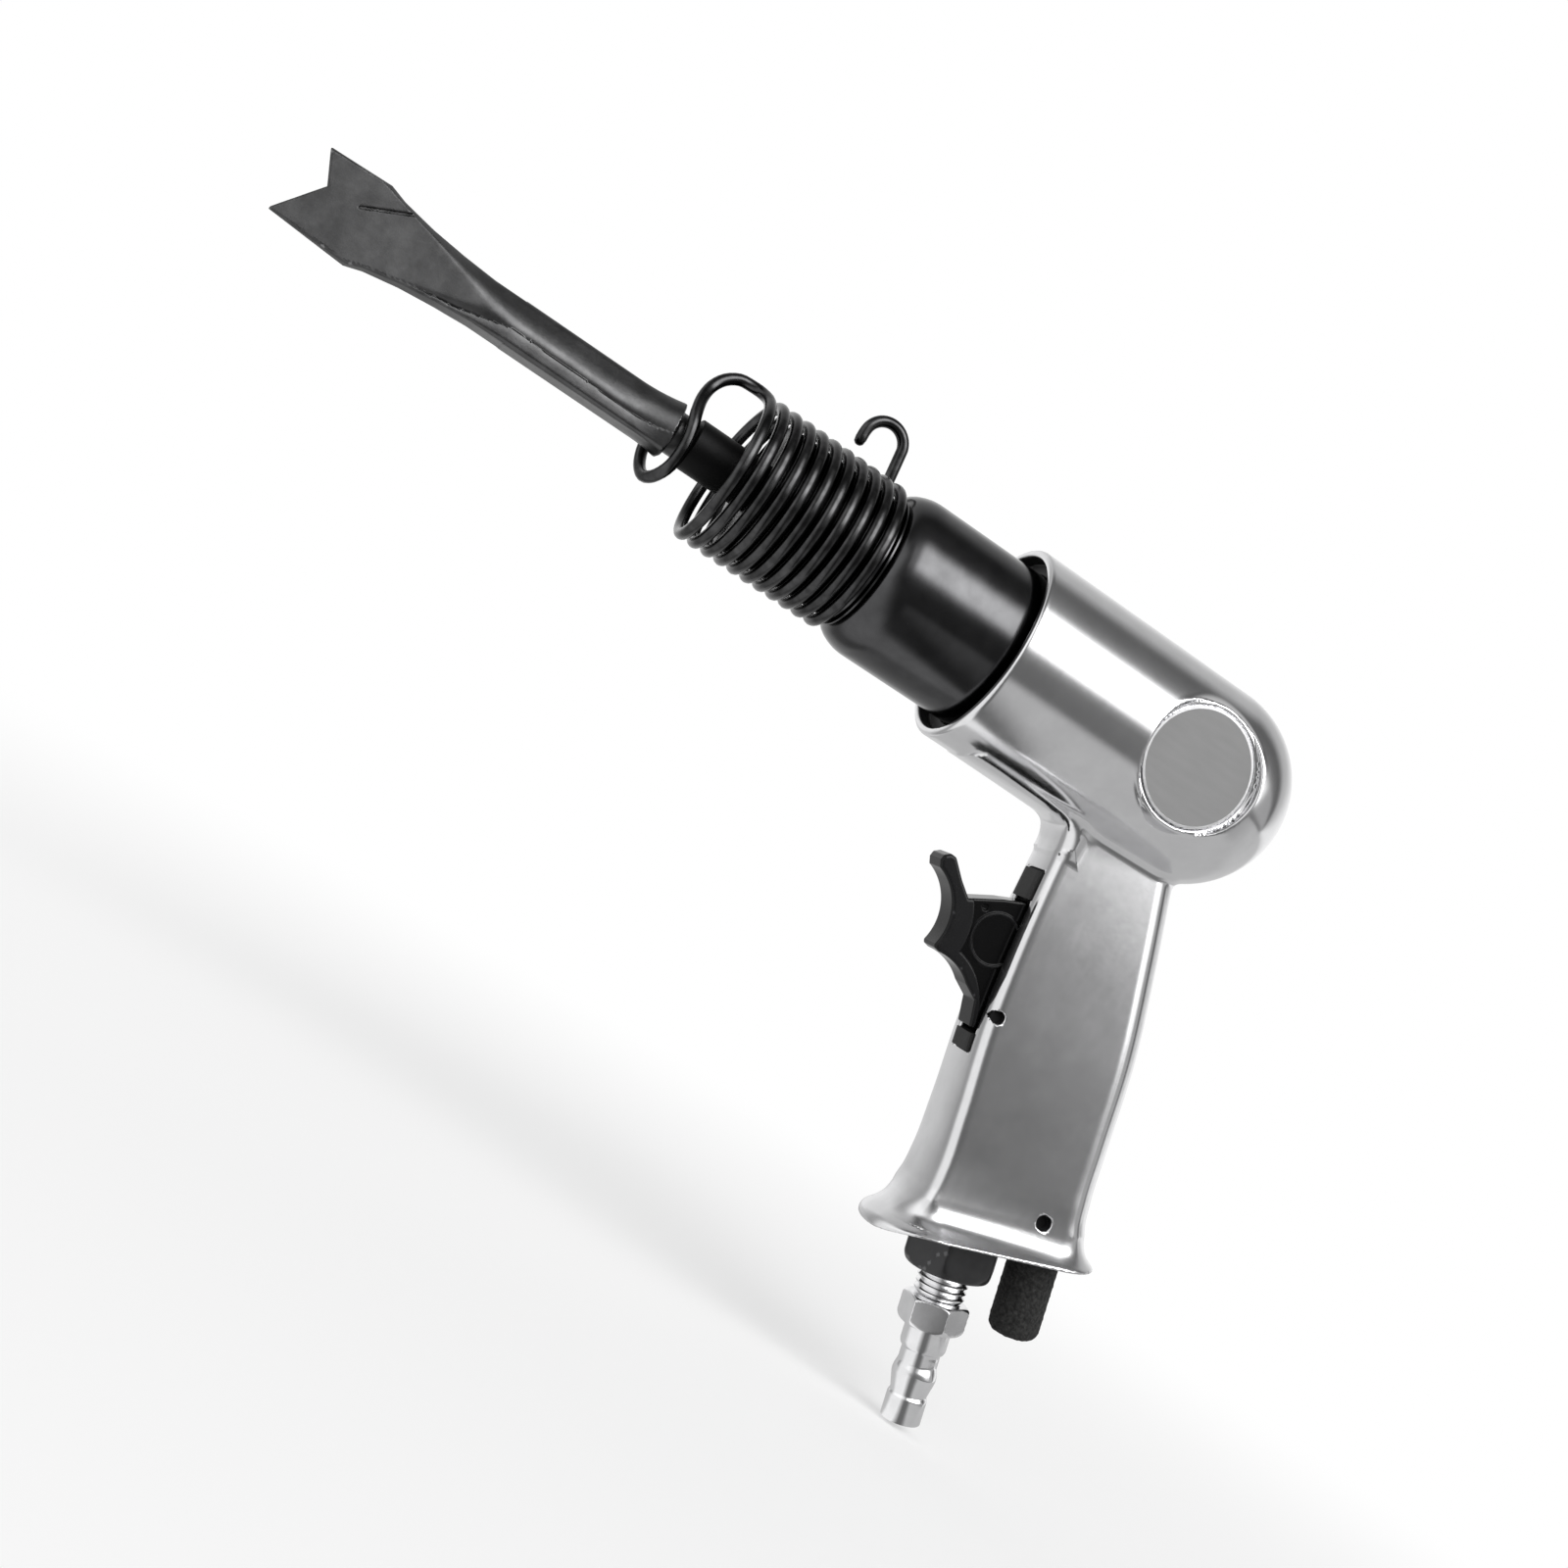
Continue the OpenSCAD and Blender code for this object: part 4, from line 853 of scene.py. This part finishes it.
def chisel_form(s, hook_x, axis_h):
    tip = hook_x - s.reach
    root = tip + s.blade
    r, half = s.rod / 2, s.width / 2
    outline = [(root + 1, -r), (root - 7, -r), (root - 14, -r - 0.5), (root - 21, -r - 1.3),
               (root - 28, -r - 2.6), (root - 31.5, -half), (tip - 1.8, -half + 1), (tip + s.notch, 1.6),
               (tip + 1.8, half - 0.4), (root - 31.5, half), (root - 28, r + 2.6), (root - 21, r + 1.3),
               (root - 14, r + 0.5), (root - 7, r), (root + 1, r)]
    stations = [tip, root - 31.5, root - 28, root - 21, root - 14, root - 7, root, hook_x]
    halves = [half - 0.6, half, r + 2.6, r + 1.3, r + 0.5, r, r, r]

    def form(x, y, z):
        h = z - axis_h
        ring = np.hypot(y, h)
        side = np.abs(y)
        edge = np.interp(x, stations, halves)
        on_blade = np.maximum(root - x, 0)
        thick = np.where(x > root, r - 0.12, np.maximum(
            r - 0.12 - on_blade * (r - 0.12 - s.edge) / (s.blade - 8), s.edge / 2 + 0.02 * (x - tip)))
        seam = -1.13 - 0.0212 * np.maximum(x - root, 0)
        upper = np.minimum(seam + 0.27 * on_blade, edge - 0.7)
        lower = np.maximum(seam - 0.6 - 0.237 * on_blade, 0.8 - edge)
        run, rise = thick - 0.5, edge - upper
        facet = ((side - thick) * rise + (h - upper) * run) / np.hypot(run, rise)
        crest = 0.15 + 1.9 * np.clip(1 - on_blade / 24, 0, 1)
        top = common(facet - 0.2 * crest, ring - np.maximum(r, edge) - 0.05, 0.8)
        top = common(top, side - thick - 0.1, crest)
        top = np.maximum(top, lower - 0.2 - h)
        soft = np.clip(0.66 * (edge + lower), 0.15, 2.45)
        lean = 0.17 * np.clip(1 - on_blade / 30, 0, 1)
        bottom = common(side - thick + 0.1 + lean * (h - lower), -edge - h, soft)
        shape = np.minimum(top, np.maximum(bottom, h - lower))
        shape = np.maximum(common(shape, side - thick, 0.12), tip - 3 - x)
        shape = np.where(x < root, common(shape, polygon(x, h, outline), 0.4), shape)
        shape = np.maximum(shape, x - hook_x + 2.6)
        ease = np.clip((hook_x - NECK_START - x) / NECK_LENGTH, 0, 1)
        neck_radius = s.bead / 2 - (s.bead / 2 - r + NECK_SINK) * ease
        neck = capped(ring - neck_radius, x, hook_x - 14.9, hook_x - GROOVE_HALF_LENGTH)
        shank = capped(ring - s.shank / 2, x, hook_x + GROOVE_HALF_LENGTH, s.back_x)
        collar = capped(ring - s.collar / 2, x, hook_x + GROOVE_HALF_LENGTH, COLLAR_END_X)
        groove = capped(ring - s.groove / 2, x, hook_x - 3, hook_x + 3)
        body = joined(joined(shape, neck, 2.2), joined(groove, joined(collar, shank, 0.5), 0.4), 0.4)
        mid = x - root + CREASE["from_root"]
        crease = np.hypot(np.maximum(np.abs(mid) - CREASE["half_length"], 0),
                          h - CREASE["height"] - CREASE["slope"] * mid)
        return carved(body, np.maximum(crease - CREASE["half_width"], thick - CREASE["depth"] - side), 0.25)

    return form


def trigger_form(t, s):
    half = t.width / 2

    def form(x, y, z):
        u, w = leaned(s, x, z)
        a, b = u - t.pivot_u, w - t.pivot_w
        side = np.abs(y)

        def away(centre):
            return np.hypot(a - centre[0], b - centre[1])

        flat = polygon(a, b, TRIGGER_OUTLINE)
        flat = np.maximum(flat, t.upper_scoop - away(UPPER_SCOOP_AT))
        flat = np.maximum(flat, t.lower_scoop - away(LOWER_SCOOP_AT))
        blade = common(flat, side - half, 0.8)
        beyond = np.minimum(away(UPPER_SEAM_AT) - UPPER_SEAM_RADIUS, away(LOWER_SCOOP_AT) - LOWER_SEAM_RADIUS)
        piece = carved(blade, np.maximum(-beyond, half - t.body_step - side), 0.35)
        ring = np.abs(away(RING_MARK_AT) - RING_MARK_RADIUS) - RING_MARK_HALF_WIDTH
        piece = joined(piece, common(np.maximum(ring, flat + 0.6), side - half + RING_MARK_RISE, 0.2), 0.25)
        dot = np.maximum(away(DOT_AT) - DOT_RADIUS, half - t.body_step - DOT_DEPTH - side)
        return carved(carved(piece, dot, 0.25), np.hypot(a, b) - TRIGGER_HOLE_RADIUS, 0.3)

    return form


def coned(solid, ring, flats, start, rise, slope, k):
    """A hexagon within a cone round its axis, that starts outside the flats and widens along the rise."""
    return common(solid, ring - flats / 2 - start - rise * slope, k)


def bushing_form(i, s):
    def form(x, y, z):
        u, w = leaned(s, x, z)
        a, d = u + i.ahead, w + s.foot_drop
        ring = np.hypot(a, y)
        hexa = common(hexagon(a, y, i.nut_flats, math.pi / 6), np.maximum(d, -i.nut_height - d), 0.5)
        hexa = coned(hexa, ring, i.nut_flats, -0.6, d + i.nut_height, 0.75, 0.7)
        hexa = common(hexa, ring - i.nut_flats / 2 - 1.2, 0.6)
        body = joined(hexa, capped(ring - BUSHING_NECK_RADIUS, d, -1, BUSHING_NECK_TOP), 0.3)
        inside_thread = ring - i.thread / 2 + BUSHING_THREAD_DEPTH
        body = carved(body, capped(inside_thread, d, -20, BUSHING_THREAD_TOP), 0.4)
        return carved(body, ring - BUSHING_BORE_RADIUS, 0.3)

    return form


def plug_outline(i):
    """The turned plug's places and radii down from the foot, and the top and the end of its hexagon."""
    top = -i.nut_height
    thread_end = top - i.thread_length
    hex_end = thread_end - i.plug_hex
    stem_end = hex_end - i.stem_length
    end = stem_end - i.tail_length
    root, stem, crest = i.thread / 2 - THREAD_DEPTH, i.stem / 2, i.thread / 2
    outline = [(-1.5, i.bore / 2), (-1.5, root)]
    for k in range(int((i.thread_length + 0.4) / i.thread_pitch)):
        z = top + 0.2 - k * i.thread_pitch
        outline += [(z, root), (z - 0.42 * i.thread_pitch, crest), (z - 0.58 * i.thread_pitch, crest)]
    outline += [(thread_end + 0.1, root), (thread_end + 0.1, stem + 0.2), (hex_end - 0.35, stem + 0.1)]
    outline += [tuple(p) for p in softened([
        (hex_end - 0.4, stem), (stem_end + 1.3, stem), (stem_end + 0.5, stem - 0.3),
        (stem_end + 0.2, stem - 0.8), (stem_end - 0.9, i.groove / 2), (stem_end - 2.6, i.groove / 2),
        (stem_end - 3.9, i.shoulder / 2 - 0.2), (stem_end - 5.1, i.shoulder / 2),
        (stem_end - 5.9, i.shoulder / 2 - 0.1), (end + i.nose_length + 0.7, i.nose / 2 - 0.4),
        (end + i.nose_length, i.nose / 2), (end, i.nose / 2), (end, i.bore / 2), (end + 12, i.bore / 2)],
        0.35, 3)]
    return outline, thread_end, hex_end


def plug_nut_form(i, s, top, end):
    def form(x, y, z):
        u, w = leaned(s, x, z)
        a, d = u + i.ahead, w + s.foot_drop
        ring = np.hypot(a, y)
        hexa = common(hexagon(a, y, i.plug_flats), np.maximum(d - top, end - d), 0.35)
        hexa = coned(hexa, ring, i.plug_flats, 0.15, d - end, 0.9, 0.5)
        hexa = coned(hexa, ring, i.plug_flats, 0.15, top - d, 1.3, 0.5)
        return carved(hexa, ring - i.stem / 2 + 0.05, 0.1)

    return form


def muffler_form(i, s):
    def form(x, y, z):
        u, w = leaned(s, x, z)
        d = w + s.foot_drop
        ring = np.hypot(u - i.muffler_behind, y)
        body = common(ring - i.muffler / 2, np.maximum(d, -i.muffler_out - d), 3.0)
        grain = 0.1 * np.sin(3.1 * x + 1.7 * y) * np.sin(2.9 * y - 1.3 * z) * np.sin(3.3 * z + 0.9 * x)
        stub = np.hypot(u - MUFFLER_SPIGOT_U, y)
        groove = np.maximum(np.abs(d - MUFFLER_PIN_RISE) - SPIGOT_GROOVE_HALF, SPIGOT_GROOVE_RADIUS - stub)
        spigot = carved(capped(stub - SPIGOT_RADIUS, d, -1, SPIGOT_TOP), groove, 0.2)
        return joined(body + 0.12 + grain, spigot, 0.3)

    return form


class HAMMER_OT_housing(bpy.types.Operator):
    """Casts the housing with its grip, web, foot and recesses"""
    bl_idname = "hammer.housing"
    bl_label = "Housing"

    def execute(self, context):
        s, t, i = in_mm("housing", "trigger", "inlet")
        cast("cast_housing", housing_form(s, t, i), "housing", s.skin_step,
             polished_casting(sizes("finishes")), "hammer", "cast", grown=((0.2, 0.2, 2), 0.2))
        return {"FINISHED"}


class HAMMER_OT_barrel(bpy.types.Operator):
    """Turns the barrel with its nose, shoulder and bores"""
    bl_idname = "hammer.barrel"
    bl_label = "Barrel"

    def execute(self, context):
        s, housing = in_mm("barrel", "housing")
        r, x, guide_end = s.diameter / 2, s.shoulder_x, s.nose_x + s.guide_length
        outline = [(s.nose_x, s.guide_radius + 0.9), (s.nose_x, s.nose_radius - 0.5),
                   (s.nose_x + 0.5, s.nose_radius), (x - 0.9, s.nose_radius), (x - 0.5, s.nose_radius + 0.9),
                   *((x + behind, r - lower) for behind, lower in SHOULDER), (s.back_x, r),
                   (s.back_x, s.piston_radius), (guide_end, s.piston_radius), (guide_end, s.guide_radius),
                   (s.nose_x + 0.9, s.guide_radius)]

        def place(along_axis, a, b):
            return np.stack([along_axis, a, housing.axis_height + b], 1)

        obj = turned("turned_barrel", outline, place, 160, barrel_black(sizes("finishes")))
        finished(obj, "hammer", "black_steel", "barrel")
        return {"FINISHED"}


class HAMMER_OT_spring(bpy.types.Operator):
    """Winds the retainer spring and the throttle's spring"""
    bl_idname = "hammer.spring"
    bl_label = "Springs"

    def execute(self, context):
        f = sizes("finishes")
        s, housing = in_mm("spring", "housing")
        obj = wire_piece("wound_retainer_spring", spring_route(s, housing.axis_height), s.wire / 2, 16,
                         oiled_wire(f))
        finished(obj, "hammer", "spring_black", "retainer_spring")
        first, last, radius, wire, curls = THROTTLE_SPRING.values()
        coil = [upright(housing, first + (last - first) * n / curls, -radius * math.sin(2 * math.pi * n),
                        THROTTLE_W + radius * math.cos(2 * math.pi * n)) for n in np.linspace(0, curls, 121)]
        small = wire_piece("wound_throttle_spring", np.array(coil), wire / 2, 10,
                           plain_metal("spring steel", f.steel, 0.25))
        # In the tool it shortens as the stem moves, its front end following the stem and its back end staying;
        # here only the places of its two ends are found, and nothing uses them
        start, end = (upright(housing, u, 0, THROTTLE_W) / 1000 for u in (first - 0.3, last + 0.3))
        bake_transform(small)
        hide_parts("throttle_spring")
        return {"FINISHED"}


class HAMMER_OT_chisel(bpy.types.Operator):
    """Forges the chisel with its shank, collar, rod and notched blade"""
    bl_idname = "hammer.chisel"
    bl_label = "Chisel"

    def execute(self, context):
        s, spring, housing = in_mm("chisel", "spring", "housing")
        steel = forged_steel(sizes("finishes"), hook_place(sizes("spring")))
        cast("forged_chisel", chisel_form(s, hook_place(spring), housing.axis_height), "chisel", 0.27, steel,
             "chisel", "forged")
        return {"FINISHED"}


class HAMMER_OT_trigger(bpy.types.Operator):
    """Moulds the trigger with its two scoops, its seam and its round mark"""
    bl_idname = "hammer.trigger"
    bl_label = "Trigger"

    def execute(self, context):
        cast("moulded_trigger", trigger_form(*in_mm("trigger", "housing")), "trigger", 0.28,
             trigger_black(sizes("finishes")), "trigger", "trigger_black")
        return {"FINISHED"}


class HAMMER_OT_inlet(bpy.types.Operator):
    """Makes the bushing, the air plug and the muffler under the foot"""
    bl_idname = "hammer.inlet"
    bl_label = "Inlet and muffler"

    def execute(self, context):
        f = sizes("finishes")
        i, s = in_mm("inlet", "housing")
        cast("inlet_nut", bushing_form(i, s), "inlet_bushing", 0.4, black_oxide(f), "hammer", "dark_steel")
        chrome = bright_chrome(f)
        outline, hex_top, hex_end = plug_outline(i)

        def place(d, a, b):
            return np.stack([upright(s, p - i.ahead, q, w - s.foot_drop) for w, p, q in zip(d, a, b)])

        plug = turned("turned_plug", outline, place, 96, chrome)
        finished(plug, "hammer", "chrome", "air_plug")
        cast("plug_hexagon", plug_nut_form(i, s, hex_top, hex_end), "air_plug", 0.36, chrome,
             "hammer", "chrome", stands_for_it=False)
        cast("sintered_muffler", muffler_form(i, s), "muffler", 0.36, porous_sinter(f), "hammer", "porous")
        return {"FINISHED"}


class HAMMER_OT_finishes(bpy.types.Operator):
    """Gives the frame's own pieces their finishes"""
    bl_idname = "hammer.finishes"
    bl_label = "Finishes of the frame"

    def execute(self, context):
        f = sizes("finishes")
        made = {
            "hard_steel": plain_metal("ground steel", f.steel, 0.3),
            # Painted shade: the pins are painted nearly black, standing in for the shade inside the pin holes
            "pin_steel": plain_metal("pin steel", shade(f.steel, 0.03), 0.6),
            "brass": plain_metal("machined brass", f.brass, 0.3),
            "plate_silver": plain_metal("bare plate", shade(f.casting, 0.9), 0.32),
            "plate_grey": plate_grey(f),
            "seal": seal_rubber(f),
            "liner": liner_black(f),
        }
        for part in frame["record"]["subparts"]:
            node = frame["nodes"][part["node"]]
            if part["material_slot"] in made:
                node.data.materials.clear()
                node.data.materials.append(made[part["material_slot"]])
        return {"FINISHED"}


# The stage

CAMERA_PLACE = (-0.19998, -0.37586, -0.00467)
CAMERA_BACK = (-0.3032, -0.951, -0.061)
CAMERA_RIGHT = (0.8075, -0.2904, 0.5134)
FLOOR_HALF = 6000


def greys(tree, across, toward, stops):
    """A smooth grey by direction, from stops in degrees: 0 is towards -y, and 90 is towards +across."""
    turn = across.math("ARCTAN2", toward * -1.0) / (2 * math.pi) + 0.5
    places = [((degrees + 180) / 360, light) for degrees, light in stops]
    return add_node(tree, "ValToRGB", {0: turn}, stops=places).out()


def emptied(owner):
    owner.use_nodes = True
    owner.node_tree.nodes.clear()
    return owner.node_tree


def floor_paper(colour):
    """Pale paper that whitens with distance for the camera, and for glossy rays glows with a painted reflection
    of the room's darker sides.
    """
    material = bpy.data.materials.new("pale floor")
    tree = emptied(material)
    place = add_node(tree, "TexCoord", {}).out("Object")
    away = add_node(tree, "VectorMath", {0: place}, operation="LENGTH").out("Value")
    parts = add_node(tree, "SeparateXYZ", {0: place})
    x, y = parts.out(), parts.out(1)
    # Painted reflection: grey bands by direction that the floor glows with for glossy rays, near the object and
    # further off
    close = greys(tree, 0.015 - x, y, (
        (-180, 0.54), (-5, 0.54), (8, 0.25), (14, 0.16), (30, 0.16), (40, 0.5), (52, 1.0), (100, 1.0),
        (120, 0.6), (180, 0.54)))
    around = greys(tree, x * -1.0, y, (
        (-180, 0.75), (-150, 0.65), (-78, 0.57), (-40, 0.3), (-20, 0.16), (20, 0.16), (30, 0.3), (48, 0.9),
        (60, 1.0), (100, 1.0), (115, 0.9), (127, 0.42), (142, 0.36), (155, 0.7), (180, 0.75)))
    ahead = (x * -8.0).math("MAXIMUM", x)
    sideways = (ahead ** 2.0 + y ** 2.0) ** 0.5
    grey = mixed_colour(tree, faded(tree, sideways, 0.25, 0.4), close, around)
    paper = add_node(tree, "BsdfDiffuse", {"Color": (*colour, 1)}).out()
    white = add_node(tree, "Emission", {"Color": (1, 1, 1, 1), "Strength": 1.0}).out()
    mirrored = add_node(tree, "Emission", {"Color": grey, "Strength": 1.0}).out()
    path = add_node(tree, "LightPath", {})
    whitened = (0.5 + 0.5 * faded(tree, away, 0.1, 0.55)) * path.out("Is Camera Ray")
    seen = mixed_shader(tree, path.out("Is Glossy Ray"), mixed_shader(tree, whitened, paper, white), mirrored)
    add_node(tree, "OutputMaterial", {0: seen})
    return material


def soft_room(s):
    """A room of soft grey bands round the barrel's axis, with the long key band above and a light left."""
    world = bpy.data.worlds.new("room")
    tree = emptied(world)
    toward = add_node(tree, "TexCoord", {}).out("Generated")
    parts = add_node(tree, "SeparateXYZ", {0: toward})
    x, y, z = parts.out(), parts.out(1), parts.out(2)
    bands = greys(tree, z, y, (
        (-180, 0.85), (-160, 0.7), (-142, 0.56), (-120, 0.5), (-102, 0.44), (-90, 0.48), (-80, 0.54),
        (-35, 0.55), (-27, 0.46), (-19, 0.2), (-9, 0.14), (0, 0.18), (6, 0.26), (12, 0.42), (58, 0.42),
        (68, 0.24), (76, 0.17), (90, 0.13), (97, 0.15), (106, 0.34), (114, 0.5), (130, 0.57),
        (144, 0.74), (156, 0.9), (166, 1.0), (175, 1.0), (180, 0.85)))
    high = greys(tree, z, y, (
        (-180, 0), (9, 0), (15, 0.2), (20, 0.72), (25, 1), (44, 1), (50, 0.7), (55, 0.3), (60, 0.06),
        (64, 0)))
    middle = faded(tree, x, -0.3, -0.05) * faded(tree, x, 0.78, 0.58)
    wide = faded(tree, x, -0.5, -0.4) * faded(tree, x, 0.9, 0.8)
    key = high * (0.18 * wide + 0.82 * middle) * s.key
    left = greys(tree, x * -1.0, y, (
        (-180, 0.8), (0, 0.17), (20, 0.17), (32, 0.3), (48, 0.9), (60, 1.2), (100, 1.2), (115, 0.9),
        (127, 0.42), (142, 0.36), (155, 0.7), (180, 0.8)))
    weight = faded(tree, x, -0.3, -0.45) * (1.0 - faded(tree, z.math("ABSOLUTE"), 0.45, 0.65))
    walls = mixed_colour(tree, weight, bands, left)
    light = add_node(tree, "VectorMath", {0: walls, 1: key}, operation="ADD").out()
    shown = add_node(tree, "Background", {0: light, 1: s.room}).out()
    white = add_node(tree, "Background", {0: (1, 1, 1, 1), 1: 1.0}).out()
    seen = add_node(tree, "LightPath", {}).out("Is Camera Ray")
    add_node(tree, "OutputWorld", {0: mixed_shader(tree, seen, shown, white)})
    return world


class HAMMER_OT_stage(bpy.types.Operator):
    """Sets the camera, the pale floor and the softly lit room"""
    bl_idname = "hammer.stage"
    bl_label = "Stage"

    def execute(self, context):
        scene, s = context.scene, sizes("stage")
        data = bpy.data.cameras.new("camera")
        data.lens, data.sensor_width = s.lens, 36
        data.clip_start, data.clip_end = 0.01, 20
        camera = bpy.data.objects.new("camera", data)
        back = Vector(CAMERA_BACK).normalized()
        up = back.cross(Vector(CAMERA_RIGHT).normalized()).normalized()
        turn = Matrix((up.cross(back), up, back)).transposed().to_4x4()
        camera.matrix_world = Matrix.Translation(CAMERA_PLACE) @ turn
        scene.collection.objects.link(camera)
        scene.camera = camera

        low = min(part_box(part["node"])[0].z for part in frame["record"]["subparts"]) * 1000 - PAPER_GAP
        corners = [(a * FLOOR_HALF, b * FLOOR_HALF, low) for a, b in ((-1, -1), (1, -1), (1, 1), (-1, 1))]
        floor = make_object("floor", corners, [(0, 1, 2, 3)], floor_paper(s.floor))
        scene.world = soft_room(s)
        scene.view_settings.view_transform = "Standard"
        return {"FINISHED"}


OPERATORS = (HAMMER_OT_stage, HAMMER_OT_housing, HAMMER_OT_barrel, HAMMER_OT_spring, HAMMER_OT_chisel,
             HAMMER_OT_trigger, HAMMER_OT_inlet, HAMMER_OT_finishes)
GROUPS = {"housing": HousingSizes, "barrel": BarrelSizes, "spring": SpringSizes, "chisel": ChiselSizes,
          "trigger": TriggerSizes, "inlet": InletSizes, "finishes": Finishes, "stage": StageSettings}


class HAMMER_PT_panel(bpy.types.Panel):
    """Lists the hammer's pieces, sizes and finishes"""
    bl_idname = "HAMMER_PT_panel"
    bl_label = "Air Hammer"
    bl_space_type = "VIEW_3D"
    bl_region_type = "UI"
    bl_category = "Air Hammer"

    def draw(self, context):
        for operator in OPERATORS:
            self.layout.operator(operator.bl_idname)
        for name in GROUPS:
            box = self.layout.box()
            box.label(text=name.title())
            group = sizes(name)
            for prop in group.bl_rna.properties:
                if prop.identifier not in ("rna_type", "name"):
                    box.prop(group, prop.identifier)


def register():
    for name, group in GROUPS.items():
        bpy.utils.register_class(group)
        setattr(bpy.types.Scene, "hammer_" + name, bpy.props.PointerProperty(type=group))
    for cls in (*OPERATORS, HAMMER_PT_panel):
        bpy.utils.register_class(cls)


def unregister():
    for cls in reversed((*OPERATORS, HAMMER_PT_panel)):
        bpy.utils.unregister_class(cls)
    for name, group in GROUPS.items():
        delattr(bpy.types.Scene, "hammer_" + name)
        bpy.utils.unregister_class(group)


def main():
    register()
    for operator in OPERATORS:
        family, name = operator.bl_idname.split(".")
        getattr(getattr(bpy.ops, family), name)()


if __name__ == "__main__":
    main()
